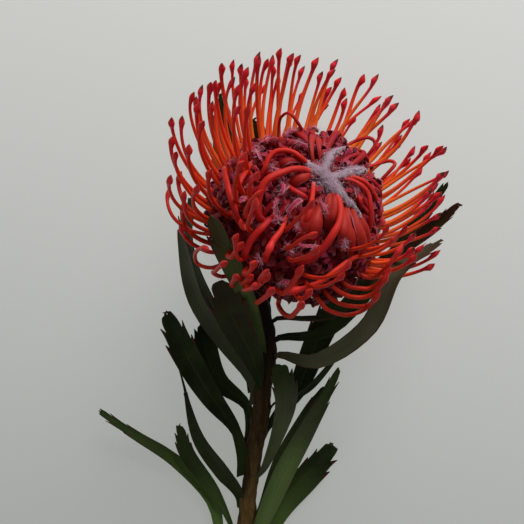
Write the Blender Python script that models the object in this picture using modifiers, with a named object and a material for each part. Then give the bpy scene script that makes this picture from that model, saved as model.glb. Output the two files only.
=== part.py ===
"""Pincushion protea: one bloom cut on its leafy stem and laid on a table.

The table is the plane z = 0 and +Z is up. The origin is on the table, under the middle of the
object's box, +Y runs along the stem towards the bloom, and the bloom leans over to +X.
Sizes below are in millimetres, and the objects are in metres.
"""

import math
import random

import bmesh
import bpy
from mathutils import Matrix, Vector

MM = 0.001
GAP = 0.3                    # clearance between pieces that touch
UP = Vector((0, 0, 1))

# The head: its middle, and its axis from the stem through the woolly centre
HEAD_PLACE = Vector((4.8, 55.3, 36.0))
HEAD_TILT = math.radians(47)         # between the axis and straight up
HEAD_LEAN = math.radians(55)         # the axis over the table, from +X
HEAD_AXIS = Vector((math.sin(HEAD_TILT) * math.cos(HEAD_LEAN),
                    math.sin(HEAD_TILT) * math.sin(HEAD_LEAN),
                    math.cos(HEAD_TILT)))
HEAD_SIDE = UP.cross(HEAD_AXIS).normalized()
HEAD_FRONT = HEAD_AXIS.cross(HEAD_SIDE)
GOLDEN_ANGLE = math.radians(137.508)

# The core under the florets, as radius and height along the axis, from its top down
CORE_OUTLINE = ((0, 30.5), (11, 28.5), (21, 23.5), (28, 15), (31, 5), (30, -4), (24, -13),
                (15, -20), (7, -23.5), (0, -24))
CORE_STEPS = 14

# Open styles, the wires that stand round the head
STYLE_COUNT = 150            # places for styles in the rule, of which every third is left out
STYLE_LENGTH = 58.0
STYLE_RADIUS = 0.75
STYLE_FROM, STYLE_TO = math.radians(106), math.radians(50)       # seats, from the axis
STYLE_BOW = math.radians(12)         # how far a style first leans out of its seat's direction
STYLE_SAG = 4.0
STYLE_ROOM = 3.0             # between the middles of two styles
STYLE_SEED = 1000
KNOB_LENGTH = 6.5
KNOB_RADIUS = 1.75

# Perianths rolled up over the dome, and the thick closed loops round its middle
ROLL_COUNT = 80
ROLL_RADIUS = 3.5
ROLL_SEED = 2200
LOOP_COUNT = 24
LOOP_RADIUS = 1.35
LOOP_SEED = 3200
WOOL_RADIUS = 7.5
WOOL_HEIGHT = 5.0

# The cup of bracts at the foot of the head: its foot, and for each row of bracts the angles
# of their roots and tips from the head's axis, and how far root and tip stand off the core
FOOT_RADIUS = 4.6
FOOT_HEIGHT = -29.0
CUP_THICK = 1.6
BRACT_ROWS = ((171, 150, 2.4, 4.6), (158, 129, 1.6, 3.4))
BRACT_COUNT = 10
BRACT_THICK = 1.0

# The stem, from the foot of the head to its cut end, from the middle of the head
STEM_RADIUS = 3.3
STEM_SIDES = 8
STEM_REST = STEM_RADIUS * math.cos(math.pi / STEM_SIDES)
STEM_ROUTE = [Vector(point) for point in (
    (-13.8, -20.4, 13.6), (-13.4, -25.5, 11.0), (-10.4, -36, 9.2), (-8.8, -55, 7.4), (-11.7, -80, 6.0),
    (-15.5, -106, 4.6), (-18.5, -130, STEM_REST), (-21.5, -152, STEM_REST), (-25.5, -178, STEM_REST))]

# A leaf's blade: place along its middle, place along its edge, and share of its full width
BLADE_THICK = 0.8
BLADE_FOLD = 0.22            # rise of the edges over the middle, as a share of the half width
FIVE_TEETH = ((0.00, 0.00, 0.20), (0.12, 0.12, 0.20), (0.30, 0.30, 0.44), (0.48, 0.51, 0.76),
              (0.57, 0.68, 0.96), (0.61, 0.81, 1.00), (0.65, 0.91, 1.02), (0.71, 0.885, 0.80),
              (0.78, 0.97, 0.70), (0.84, 0.935, 0.48), (0.92, 0.985, 0.30), (1.00, 1.00, 0.08))
THREE_TEETH = ((0.00, 0.00, 0.22), (0.14, 0.14, 0.22), (0.34, 0.34, 0.50), (0.54, 0.57, 0.82),
               (0.65, 0.74, 1.00), (0.71, 0.86, 1.00), (0.76, 0.95, 0.98), (0.84, 0.92, 0.62),
               (0.92, 0.96, 0.36), (1.00, 1.00, 0.10))

# name: place along the stem's Y, width, outline, route after the stem, faces at base and tip
LEAVES = {
    "leaf_front_wide": (-66, 14, FIVE_TEETH, ((-15, -51, 22), (-22, -35, 36), (-26, -21, 47)),
                        (0, 0.2, 1), (0.1, -0.5, 1)),
    "leaf_front_slim": (-52, 9, THREE_TEETH, ((-15, -30, 38), (-21, -14, 58), (-27, 2, 72)),
                        (-0.6, -0.2, 0.8), (-0.8, -0.3, 0.7)),
    "leaf_left_outer": (-68, 11, FIVE_TEETH, ((-27, -46, 12), (-40, -28, 20), (-44, -8, 32), (-43, 5, 42)),
                        (-0.1, 0, 1), (-1, -0.2, 0.35)),
    "leaf_left_inner": (-60, 11, FIVE_TEETH, ((-26, -42, 7), (-36, -23, 9), (-40, -5, 15), (-39, 11, 22)),
                        (0, 0, 1), (-0.7, 0, 0.8)),
    "leaf_left_toothed": (-90, 13.5, FIVE_TEETH, ((-29, -70, 12), (-40, -53, 14), (-48, -34, 17)),
                          (0, 0, 1), (0, 0, 1)),
    "leaf_left_under": (-80, 12, FIVE_TEETH, ((-21, -63, 4), (-29, -51, 3), (-34, -40, 6)),
                        (0, 0, 1), (0, 0, 1)),
    "leaf_left_slim": (-114, 8.5, THREE_TEETH, ((-27, -99, 12), (-37, -83, 17), (-44, -57, 22)),
                       (-0.5, 0, 0.9), (-0.9, 0, 0.5)),
    "leaf_left_long": (-140, 13, FIVE_TEETH, ((-31, -115, 2.2), (-47, -99, 1.4), (-63, -87, 5), (-77, -75, 12)),
                       (0, 0, 1), (0.5, 0.75, 0.5)),
    "leaf_left_short": (-130, 9, FIVE_TEETH, ((-28, -109, 5.6), (-37, -94, 7), (-43, -82, 10)),
                        (0, 0, 1), (-0.3, 0.1, 1)),
    "leaf_right_curved": (-56, 10.5, FIVE_TEETH, ((12, -54, 22), (31, -39, 39), (43, -20, 46), (56, -7, 43)),
                          (0.2, 0.5, 0.8), (-0.4, 0.3, 0.9)),
    "leaf_right_upper": (-42, 11, FIVE_TEETH, ((18, -36, 13), (37, -16, 15), (56, -2, 19), (67, 8, 26)),
                         (0.3, 0.6, 0.7), (-0.2, 0.2, 1)),
    "leaf_right_back": (-50, 12, FIVE_TEETH, ((17, -42, 8), (37, -21, 6), (55, 5, 8), (66, 22, 15)),
                        (0, 0, 1), (-0.2, 0, 1)),
    "leaf_right_dark": (-84, 12, FIVE_TEETH, ((4, -68, 4), (12, -49, 2), (20, -30, 2)),
                        (0, 0, 1), (0, 0, 1)),
    "leaf_right_edge": (-76, 7, THREE_TEETH, ((5, -68, 12), (14, -59, 14), (23, -47, 16)),
                        (0.7, -0.7, 0.3), (0.7, -0.7, 0.3)),
    "leaf_right_lobed": (-102, 12, FIVE_TEETH, ((-8, -83, 14), (-3, -69, 19), (-1, -55, 24)),
                         (0.1, 0, 1), (0.1, 0, 1)),
    "leaf_right_tall": (-132, 11, FIVE_TEETH, ((-2, -102, 9), (9, -81, 12), (21, -58, 17)),
                        (0, 0, 1), (0.1, 0.1, 1)),
    "leaf_right_low": (-144, 13, FIVE_TEETH, ((-6, -120, 1.6), (7, -105, 1.2), (19, -92, 5)),
                       (0, 0, 1), (0, 0, 1)),
    "leaf_right_thin": (-120, 8, THREE_TEETH, ((-5, -98, 6.5), (6, -80, 6.5), (15, -66, 9)),
                        (0.3, 0.2, 0.9), (0.3, 0.2, 0.9)),
    "leaf_back_left": (-38, 11, FIVE_TEETH, ((-17, -14, 1.2), (-26, 21, 1.2), (-27, 54, 8)),
                       (0, 0, 1), (0, -0.3, 1)),
    "leaf_back_middle": (-33, 11, FIVE_TEETH, ((-5, -5, 3.2), (-9, 21, 3.2), (-13, 44, 12)),
                         (0, 0, 1), (0, -0.3, 1)),
}

LEAF_SPOTS = []              # filled by main, from the leaves above

# Linear colours, roughness and metallic value of each sub-part
FINISHES = {
    "stem": ((0.10, 0.065, 0.025), 0.6, 0.0),
    "bracts": ((0.14, 0.05, 0.035), 0.6, 0.0),
    "perianth": ((0.33, 0.03, 0.06), 0.6, 0.0),
    "style": ((0.62, 0.09, 0.02), 0.35, 0.0),
    "presenter": ((0.42, 0.03, 0.09), 0.4, 0.0),
    "wool": ((0.60, 0.48, 0.48), 0.9, 0.0),
    "leaf": ((0.035, 0.07, 0.03), 0.5, 0.0),
}


def finish(name, title=None):
    """The Principled BSDF material of a finish, under a title of its own or the finish's name."""
    title = title or name
    if title in bpy.data.materials:
        return bpy.data.materials[title]
    colour, roughness, metallic = FINISHES[name]
    material = bpy.data.materials.new(title)
    material.use_nodes = True
    shader = material.node_tree.nodes["Principled BSDF"]
    shader.inputs["Base Color"].default_value = (*colour, 1)
    shader.inputs["Roughness"].default_value = roughness
    shader.inputs["Metallic"].default_value = metallic
    material.diffuse_color = (*colour, 1)
    return material


def new_collection(name, hidden=False):
    group = bpy.data.collections.new(name)
    group.hide_render = hidden
    bpy.context.scene.collection.children.link(group)
    return group


def from_head(azimuth, radius, height):
    """A place given round the head's axis. Azimuth 0 faces the front, which is up and to -Y."""
    outward = math.cos(azimuth) * HEAD_FRONT + math.sin(azimuth) * HEAD_SIDE
    return HEAD_PLACE + radius * outward + height * HEAD_AXIS


def along(points, share):
    """The place at a share of the smooth curve through points (Catmull-Rom)."""
    ends = [2 * points[0] - points[1], *points, 2 * points[-1] - points[-2]]
    count = len(points) - 1
    whole = min(int(min(max(share, 0), 1) * count), count - 1)
    t = share * count - whole
    a, b, c, d = ends[whole:whole + 4]
    return 0.5 * (2 * b + (c - a) * t + (2 * a - 5 * b + 4 * c - d) * t ** 2 + (3 * b - a - 3 * c + d) * t ** 3)


def mesh_of(drawn, name, group):
    """The shape of an object, modifiers and all, as a closed mesh object in the world's place."""
    evaluated = drawn.evaluated_get(bpy.context.evaluated_depsgraph_get())
    mesh = bpy.data.meshes.new_from_object(evaluated)
    mesh.transform(drawn.matrix_world)
    bpy.data.objects.remove(drawn)
    shape = bmesh.new()
    shape.from_mesh(mesh)
    bmesh.ops.remove_doubles(shape, verts=shape.verts, dist=0.00001)
    bmesh.ops.recalc_face_normals(shape, faces=shape.faces)
    shape.to_mesh(mesh)
    shape.free()
    piece = bpy.data.objects.new(name, mesh)
    group.objects.link(piece)
    return piece


def section(sides, group):
    """A regular outline of 1 mm radius with a flat side down, which tubes are drawn with."""
    curve = bpy.data.curves.new(f"section_{sides}", "CURVE")
    spline = curve.splines.new("POLY")
    spline.points.add(sides - 1)
    for number, point in enumerate(spline.points):
        turn = math.tau * (number + 0.5) / sides - math.pi / 2
        point.co = (math.cos(turn) * MM, math.sin(turn) * MM, 0, 1)
    spline.use_cyclic_u = True
    outline = bpy.data.objects.new(f"section_{sides}", curve)
    outline.hide_render = True
    outline.display_type = "WIRE"
    group.objects.link(outline)
    return outline


def tube(name, outline, points, radii, group, materials):
    """A closed tube through points, with a radius at each of them."""
    curve = bpy.data.curves.new(name, "CURVE")
    curve.dimensions = "3D"
    curve.twist_mode = "Z_UP"
    curve.bevel_mode = "OBJECT"
    curve.bevel_object = outline
    curve.use_fill_caps = True
    spline = curve.splines.new("POLY")
    spline.points.add(len(points) - 1)
    for point, place, radius in zip(spline.points, points, radii):
        point.co = (*(place * MM), 1)
        point.radius = radius
    drawn = bpy.data.objects.new(name, curve)
    group.objects.link(drawn)
    bpy.context.view_layer.update()
    piece = mesh_of(drawn, name, group)
    for material in materials:
        piece.data.materials.append(material)
    return piece


def keep_outer_body(mesh):
    """Fills any hollow that the union sealed, and drops a scrap that nothing holds."""
    shape = bmesh.new()
    shape.from_mesh(mesh)
    left, bodies = set(shape.verts), []
    while left:
        body, edge = set(), [left.pop()]
        while edge:
            vertex = edge.pop()
            body.add(vertex)
            near = {link.other_vert(vertex) for link in vertex.link_edges} & left
            left -= near
            edge.extend(near)
        bodies.append(body)
    bodies.sort(key=len)
    bmesh.ops.delete(shape, geom=[vertex for body in bodies[:-1] for vertex in body], context="VERTS")
    shape.to_mesh(mesh)
    shape.free()


def join(body, pieces, group):
    """Fuses the pieces of a collection to a body by one Boolean union, and removes them."""
    union = body.modifiers.new("Join", "BOOLEAN")
    union.operation = "UNION"
    union.operand_type = "COLLECTION"
    union.collection = group
    union.solver = "MANIFOLD"
    bpy.context.view_layer.objects.active = body
    bpy.ops.object.modifier_apply(modifier=union.name)
    keep_outer_body(body.data)
    for piece in pieces:
        bpy.data.objects.remove(piece)
    bpy.data.collections.remove(group)


def turned(name, outline, steps, group):
    """A solid turned round the head's axis, from an outline of radius and height."""
    mesh = bpy.data.meshes.new(name)
    corners = [(radius * MM, 0, height * MM) for radius, height in outline]
    mesh.from_pydata(corners, [(n, n + 1) for n in range(len(corners) - 1)], [])
    drawn = bpy.data.objects.new(name, mesh)
    group.objects.link(drawn)
    screw = drawn.modifiers.new("Turn", "SCREW")
    screw.steps = screw.render_steps = steps
    screw.use_merge_vertices = True
    screw.merge_threshold = 0.00001
    drawn.rotation_mode = "QUATERNION"
    drawn.rotation_quaternion = HEAD_AXIS.to_track_quat("Z", "Y")
    drawn.location = HEAD_PLACE * MM
    bpy.context.view_layer.update()
    return mesh_of(drawn, name, group)


def above_table(place, radius):
    """The place, lifted smoothly where a rod of this radius would sink into the table."""
    rest, ease = 0.5 * radius, 1.2
    spare = place.z - rest
    lifted = 0.5 * (spare + math.sqrt(spare ** 2 + ease ** 2)) - 0.1
    return Vector((place.x, place.y, rest + max(lifted, 0)))


def style_route(azimuth, seat, length, lean, twist):
    """Points down the middle of an open style, from inside the core out to its tip."""
    radius, height = 12 * math.sin(seat), 10 * math.cos(seat)
    parts = 32
    step = length / parts
    start = seat + STYLE_BOW
    outward = from_head(azimuth, 1, 0) - from_head(azimuth, 0, 0)
    sag = Vector((0, -1, 0)) + outward.y * outward
    points = [from_head(azimuth, radius, height)]
    for part in range(parts):
        share = (part + 0.5) / parts
        slope = start + (lean - start) * share ** 0.9
        radius += step * math.sin(slope)
        height += step * math.cos(slope)
        points.append(from_head(azimuth + twist * share, radius, height) + STYLE_SAG * share ** 2 * sag)
    return points


def clear_of_leaves(places, spare=0.0):
    """Whether a floret's points pass the blades that stand near the head, with some to spare."""
    return all((place - spot).length > room + spare for place in places for spot, room in LEAF_SPOTS)


def open_style(number, outline, group, materials, taken):
    """A style with its knob, turned aside where it would cross a leaf or a style before it.

    The places that it passes are added to those already taken.
    """
    rand = random.Random(STYLE_SEED + number)
    share = (number + 0.5) / STYLE_COUNT
    azimuth = number * GOLDEN_ANGLE + rand.uniform(-0.05, 0.05)
    level = math.cos(STYLE_FROM) + share * (math.cos(STYLE_TO) - math.cos(STYLE_FROM))
    seat = math.acos(level) + math.radians(rand.uniform(-3, 3))
    behind = 0.5 - 0.5 * math.cos(azimuth)
    length = STYLE_LENGTH + 5 * behind - 4 * share + rand.uniform(-3, 3)
    lean = math.radians(12 + 6 * behind - 4 * share + rand.uniform(-7, 7))
    twist = rand.uniform(-0.15, 0.15)
    knob = [1 - KNOB_LENGTH * part / length for part in (1, 0.72, 0.3, 0)]
    radii = [STYLE_RADIUS] * 6 + [KNOB_RADIUS, KNOB_RADIUS * 0.9, 0.5]
    for aside in (0, 0.1, -0.1, 0.2, -0.2, 0.3, -0.3, 0.4, -0.4):
        route = style_route(azimuth + aside, seat, length, lean, twist)
        root = max(share for share in (0.10, 0.15, 0.20, 0.25, 0.30, 0.35, 0.40)
                   if share == 0.10 or in_core(along(route, share + 0.03)))
        shaft = [root + (0.80 - root) * part / 4 for part in range(5)]
        places = [above_table(along(route, share), radius) for share, radius in zip(shaft + knob, radii)]
        passed = [along(route, 0.4 + 0.6 * part / 20) for part in range(21)]
        apart = all((place - other).length_squared > STYLE_ROOM ** 2 for place in passed for other in taken)
        if clear_of_leaves(places) and apart:
            break
    else:
        return None
    taken += passed
    style = tube(f"style_{number}", outline, places, radii, group, materials)
    tip = places[-1] * MM
    for face in style.data.polygons:
        face.material_index = int((face.center - tip).length < KNOB_LENGTH * MM)
    return style


def core_surface(seat):
    """Radius and height of the core's surface at an angle from the head's axis."""
    for (r0, h0), (r1, h1) in zip(CORE_OUTLINE, CORE_OUTLINE[1:]):
        first, last = math.atan2(r0, h0), math.atan2(r1, h1)
        if first <= seat <= last:
            share = (seat - first) / (last - first)
            return r0 + (r1 - r0) * share, h0 + (h1 - h0) * share
    return CORE_OUTLINE[-1]


def in_core(place):
    """Whether a place lies inside the core, 1 mm or more below its surface."""
    spot = place - HEAD_PLACE
    height = spot.dot(HEAD_AXIS)
    radius = (spot - height * HEAD_AXIS).length
    return math.hypot(radius, height) < math.hypot(*core_surface(math.atan2(radius, height))) - 1


def roll(number, group, materials):
    """A perianth's rolled end, a faceted roll that lies on the core, sunk well in.

    It is left out where a leaf lies against the head.
    """
    rand = random.Random(ROLL_SEED + number)
    top, foot = math.cos(math.radians(24)), math.cos(math.radians(116))
    seat = math.acos(top + (number + 0.5) / ROLL_COUNT * (foot - top))
    azimuth = number * GOLDEN_ANGLE
    radius, height = core_surface(seat)
    outward = (from_head(azimuth, math.sin(seat), math.cos(seat)) - HEAD_PLACE).normalized()
    middle = from_head(azimuth, radius, height) + rand.uniform(0.6, 1.6) * outward
    if not clear_of_leaves([middle], spare=ROLL_RADIUS):
        return None
    turn = rand.uniform(0, math.tau)
    across = HEAD_AXIS.cross(outward).normalized()
    side = math.cos(turn) * across + math.sin(turn) * outward.cross(across)
    size = ROLL_RADIUS * rand.uniform(0.85, 1.15)
    axes = Matrix((1.45 * size * side, size * outward.cross(side), size * outward)).transposed()
    shape = bmesh.new()
    bmesh.ops.create_icosphere(shape, subdivisions=1, radius=1)
    for vertex in shape.verts:
        vertex.co = (middle + axes @ vertex.co) * MM
    mesh = bpy.data.meshes.new(f"roll_{number}")
    shape.to_mesh(mesh)
    shape.free()
    for material in materials:
        mesh.materials.append(material)
    piece = bpy.data.objects.new(mesh.name, mesh)
    group.objects.link(piece)
    return piece


def loop(number, outline, group, materials):
    """A closed floret: a thick style that bows out of its seat and bends in to the wool."""
    rand = random.Random(LOOP_SEED + number)
    azimuth = number * GOLDEN_ANGLE
    front = 0.5 + 0.5 * math.cos(azimuth)
    seat = math.radians(rand.uniform(44, 58) + 14 * front)
    inner = math.radians(17)
    swing = rand.uniform(-0.5, 0.5)
    rise = rand.uniform(6, 9) + 3 * front
    points = []
    for part in range(6):
        share = part / 5
        angle = seat + (inner - seat) * share
        radius, height = core_surface(angle)
        lift = rise * math.sin(math.pi * min(1, share * 0.92 + 0.02)) ** 0.8 - 1.5 * (1 - share) ** 3
        scale = 1 + lift / math.hypot(radius, height)
        points.append(from_head(azimuth + swing * share, radius * scale, height * scale))
    radii = [LOOP_RADIUS * share for share in (0.9, 1.0, 1.1, 1.1, 1.15, 0.9)]
    return tube(f"loop_{number}", outline, points, radii, group, materials)


def flower_head(group, guides):
    """The core with the rolled perianths, closed florets and open styles that grow from it."""
    materials = [finish("style"), finish("presenter")]
    red = [finish("perianth")]
    core = turned("flower_head", CORE_OUTLINE, CORE_STEPS, group)
    core.data.materials.append(red[0])
    florets = new_collection("florets", hidden=True)
    outline = section(3, guides)
    taken = []
    pieces = [open_style(number, outline, florets, materials, taken)
              for number in range(STYLE_COUNT) if number % 3 != 2]
    pieces += [roll(number, florets, red) for number in range(ROLL_COUNT)]
    pieces += [loop(number, outline, florets, materials[:1]) for number in range(LOOP_COUNT)]
    pieces = [piece for piece in pieces if piece]
    join(core, pieces, florets)


def woolly_centre(group):
    """The tuft of unopened perianth tips, a lumpy cushion seated on the core's top."""
    bpy.ops.mesh.primitive_uv_sphere_add(segments=14, ring_count=8, radius=1)
    tuft = bpy.context.active_object
    tuft.name = "woolly_centre"
    for holder in tuft.users_collection:
        holder.objects.unlink(tuft)
    group.objects.link(tuft)
    base = CORE_OUTLINE[0][1] + GAP
    fall = (CORE_OUTLINE[0][1] - CORE_OUTLINE[1][1]) / CORE_OUTLINE[1][0]
    for vertex in tuft.data.vertices:
        flat = Vector((vertex.co.x, vertex.co.y))
        azimuth = math.atan2(flat.y, flat.x)
        lobe = 1 + 0.16 * math.sin(5 * azimuth) * flat.length
        radius = WOOL_RADIUS * lobe * flat.length
        under = base - fall * radius
        top = under + WOOL_HEIGHT * max(vertex.co.z, 0) * (1 - 0.2 * math.cos(3 * azimuth))
        height = top if vertex.co.z > 0.01 else under + 0.5 * (1 + max(vertex.co.z, -1))
        vertex.co = from_head(azimuth, radius, height) * MM
    shape = bmesh.new()
    shape.from_mesh(tuft.data)
    bmesh.ops.recalc_face_normals(shape, faces=shape.faces)
    shape.to_mesh(tuft.data)
    shape.free()
    tuft.data.materials.append(finish("wool"))


def bract(name, azimuth, root, tip, off_root, off_tip, group):
    """A pointed bract that lies along the foot of the core and leans off it at its tip."""
    shape = bmesh.new()
    bmesh.ops.create_grid(shape, x_segments=2, y_segments=3, size=1)
    width = math.tau / BRACT_COUNT * 0.46
    for vertex in shape.verts:
        share = (vertex.co.y + 1) / 2
        angle = math.radians(root + (tip - root) * share)
        radius, height = core_surface(angle)
        scale = 1 + (off_root + (off_tip - off_root) * share ** 2) / math.hypot(radius, height)
        turn = azimuth + vertex.co.x * width * (1.0, 1.0, 0.66, 0.05)[round(share * 3)]
        vertex.co = from_head(turn, radius * scale, height * scale) * MM
    bmesh.ops.triangulate(shape, faces=shape.faces)
    bmesh.ops.recalc_face_normals(shape, faces=shape.faces)
    mesh = bpy.data.meshes.new(name)
    shape.to_mesh(mesh)
    shape.free()
    drawn = bpy.data.objects.new(name, mesh)
    group.objects.link(drawn)
    shell = drawn.modifiers.new("Thickness", "SOLIDIFY")
    shell.thickness = BRACT_THICK * MM
    shell.offset = 0
    bpy.context.view_layer.update()
    return mesh_of(drawn, name, group)


def involucre(group):
    """The cup of bracts: a short turned foot with rows of overlapping pointed bracts."""
    inner, outer = [], []
    for radius, height in reversed(CORE_OUTLINE[-3:]):
        reach = math.hypot(radius, height)
        for side, off in ((inner, 1.4 * GAP), (outer, 1.4 * GAP + CUP_THICK)):
            side.append((radius * (1 + off / reach), height * (1 + off / reach)))
    outline = [*inner, *reversed(outer[1:]), (FOOT_RADIUS, -26.5),
               (FOOT_RADIUS * 0.92, FOOT_HEIGHT), (0, FOOT_HEIGHT)]
    cup = turned("involucre", outline, 14, group)
    cup.data.materials.append(finish("bracts"))
    bracts = new_collection("bract_pieces", hidden=True)
    pieces = []
    for row, angles in enumerate(BRACT_ROWS):
        for number in range(BRACT_COUNT):
            turn = math.tau * (number + 0.5 * row) / BRACT_COUNT
            pieces.append(bract(f"bract_{row}_{number}", turn, *angles, bracts))
    join(cup, pieces, bracts)


def stem(group, guides):
    route = [HEAD_PLACE.xy.to_3d() + point for point in STEM_ROUTE]
    radii = [STEM_RADIUS * share for share in (0.95, 1.0, 1.0, 1.0, 1.0, 1.0, 1.0, 1.0, 1.0)]
    tube("stem", section(STEM_SIDES, guides), route, radii, group, [finish("stem")])


def stem_at(y):
    """The stem's middle and direction at a place along Y from the middle of the head."""
    for low, high in zip(STEM_ROUTE[1:], STEM_ROUTE[2:]):
        if high.y <= y <= low.y:
            return low.lerp(high, (y - low.y) / (high.y - low.y)), (low - high).normalized()
    raise ValueError(f"no stem at {y}")


def leaf_line(station, route):
    """The points down a leaf's middle from its seat at the stem, and its way out of the stem."""
    middle, along_stem = stem_at(station)
    first = Vector(route[0]) - middle
    outward = (first - first.dot(along_stem) * along_stem).normalized()
    seat = middle + (STEM_RADIUS + GAP) * outward
    neck = seat + 4.5 * outward + 3.0 * along_stem
    return [seat, neck, *(Vector(point) for point in route)], outward


def leaf(name, group, station, width, outline, route, face_base, face_tip):
    """A blade with a toothed end, from just clear of the stem along its route."""
    points, outward = leaf_line(station, route)
    shape = bmesh.new()
    rows = len(outline) - 1
    bmesh.ops.create_grid(shape, x_segments=2, y_segments=rows, size=1)
    for vertex in shape.verts:
        side = vertex.co.x
        down_middle, down_edge, share = outline[round((vertex.co.y + 1) / 2 * rows)]
        place = down_middle + (down_edge - down_middle) * abs(side)
        run = (along(points, min(place + 0.02, 1)) - along(points, max(place - 0.02, 0))).normalized()
        if place == 0:
            run = outward
        face = Vector(face_base).normalized().lerp(Vector(face_tip).normalized(), place).normalized()
        across = run.cross(face).normalized()
        normal = across.cross(run)
        half = width / 2 * share
        spot = along(points, place) + side * half * across + BLADE_FOLD * abs(side) * half * normal
        spot += HEAD_PLACE.xy.to_3d()
        spot.z = max(spot.z, BLADE_THICK / 2)
        vertex.co = spot * MM
    bmesh.ops.triangulate(shape, faces=shape.faces)
    bmesh.ops.recalc_face_normals(shape, faces=shape.faces)
    mesh = bpy.data.meshes.new(name)
    shape.to_mesh(mesh)
    shape.free()
    mesh.materials.append(finish("leaf", name))
    blade = bpy.data.objects.new(name, mesh)
    group.objects.link(blade)
    shell = blade.modifiers.new("Thickness", "SOLIDIFY")
    shell.thickness = BLADE_THICK * MM
    shell.offset = 0


def leaf_spots():
    """Places down the leaves that stand near the head, with the room that florets leave them."""
    spots = []
    for station, width, _, route, *_ in LEAVES.values():
        points, _ = leaf_line(station, route)
        for share in (0.3, 0.4, 0.5, 0.6, 0.7, 0.8, 0.9, 1.0):
            spot = along(points, share)
            if spot.y > -45:
                room = 1.5 + 0.4 * width * min(1, share + 0.2)
                spots.append((spot + HEAD_PLACE.xy.to_3d(), room))
    return spots


def main():
    for old in list(bpy.data.objects):
        bpy.data.objects.remove(old)
    flower = new_collection("pincushion_protea")
    guides = new_collection("sections", hidden=True)
    LEAF_SPOTS.extend(leaf_spots())
    stem(flower, guides)
    involucre(flower)
    flower_head(flower, guides)
    woolly_centre(flower)
    for name, (station, *shape) in LEAVES.items():
        leaf(name, flower, station, *shape)


main()
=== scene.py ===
"""Pincushion protea: a cut bloom lying on its leafy stem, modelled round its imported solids.

The file is laid out as a Blender add-on, with an operator for each group of like pieces. The
rules that place the florets and leaves count in millimetres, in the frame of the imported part,
and the meshes and the settings are in metres.
"""

import math
import random
from typing import NamedTuple

import bpy
import numpy as np
from bpy.props import FloatProperty, FloatVectorProperty, PointerProperty
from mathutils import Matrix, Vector


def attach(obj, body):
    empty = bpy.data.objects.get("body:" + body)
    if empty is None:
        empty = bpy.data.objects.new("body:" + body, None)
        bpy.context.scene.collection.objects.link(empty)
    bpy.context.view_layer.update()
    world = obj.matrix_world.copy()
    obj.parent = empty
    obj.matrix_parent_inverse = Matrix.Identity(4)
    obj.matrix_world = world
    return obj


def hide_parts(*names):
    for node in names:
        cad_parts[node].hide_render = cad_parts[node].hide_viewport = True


bl_info = {
    "name": "Pincushion Protea",
    "version": (1, 0, 0),
    "blender": (4, 5, 0),
    "location": "3D View > Sidebar > Protea",
    "description": "Models a cut pincushion protea round its packed solids",
    "category": "Add Mesh",
}

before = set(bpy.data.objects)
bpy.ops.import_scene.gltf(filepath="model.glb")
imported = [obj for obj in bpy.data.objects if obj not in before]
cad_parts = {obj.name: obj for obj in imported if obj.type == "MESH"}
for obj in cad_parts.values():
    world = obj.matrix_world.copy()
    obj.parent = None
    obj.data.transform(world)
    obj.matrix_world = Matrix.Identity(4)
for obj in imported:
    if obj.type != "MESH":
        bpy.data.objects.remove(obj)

MM = 0.001
UP = Vector((0, 0, 1))
# The room between neighbouring pieces
GAP = 0.3
SMOOTH_ANGLE = math.radians(50)
BODY = "root"

# The stage, in metres: places and widths of the lights, the spot that the camera is over, and the
# floor, a little under the part
KEY_PLACE, KEY_WIDE = (0.30, 0.93, 0.52), 0.6
FILL_PLACE, FILL_WIDE = (-0.6, -0.5, 0.8), 0.9
CAMERA_OVER = (-5.9 * MM, 41.4 * MM)
SKY_COLOUR = (0.97, 0.99, 1.0, 1)
FLOOR_SIZE = 6
FLOOR_DROP = 0.3 * MM

# The head: its middle, and its axis from the stem through the woolly centre
HEAD_PLACE = Vector((4.8, 55.3, 36.0))
UNDER_HEAD = HEAD_PLACE.xy.to_3d()
HEAD_TILT = math.radians(47)
HEAD_LEAN = math.radians(55)
HEAD_AXIS = Vector((math.sin(HEAD_TILT) * math.cos(HEAD_LEAN),
                    math.sin(HEAD_TILT) * math.sin(HEAD_LEAN),
                    math.cos(HEAD_TILT)))
HEAD_SIDE = UP.cross(HEAD_AXIS).normalized()
HEAD_FRONT = HEAD_AXIS.cross(HEAD_SIDE)
GOLDEN_ANGLE = math.radians(137.508)

# The core under the florets, as radius and height along the axis, from its top down
CORE_OUTLINE = ((0, 30.5), (11, 28.5), (21, 23.5), (28, 15), (31, 5), (30, -4), (24, -13),
                (15, -20), (7, -23.5), (0, -24))

# Open styles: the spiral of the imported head, and how the drawn ones draw together and rise
STYLE_COUNT = 150
STYLE_PARTS = 18
STYLE_CLUMPS = 17
STYLE_CLUMPING = 2.2
STYLE_RISE = 7.0
# The sides of the head on which they arc low, rise, and stand even
LOW_SIDE, RAISED_SIDE, EVEN_SIDE = math.radians(280), math.radians(235), math.radians(215)
STYLE_LENGTH = 58.0
STYLE_FROM, STYLE_TO = math.radians(106), math.radians(50)
STYLE_BOW = math.radians(12)
STYLE_SAG = 4.0
STYLE_ROOM = 3.0
STYLE_SEED = 1000
# Turns aside that are tried in order, and shares of its length at which a style can leave the core
STYLE_SWINGS = (0, 0.1, -0.1, 0.2, -0.2, 0.3, -0.3, 0.4, -0.4)
STYLE_ROOTS = (0.10, 0.15, 0.20, 0.25, 0.30, 0.35, 0.40)
# Radius and height in the core of the ball that all styles start from
STYLE_START = (12, 10)
KNOB_LENGTH = 6.5
STYLE_SHAFT = STYLE_LENGTH - KNOB_LENGTH
# The knob's outline, as shares of its length and radius
KNOB_SHAPE = ((0.12, 0.66), (0.26, 0.80), (0.38, 0.95), (0.48, 1.02), (0.60, 0.95), (0.74, 0.70),
              (0.88, 0.38), (1.0, 0.05))
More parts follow.
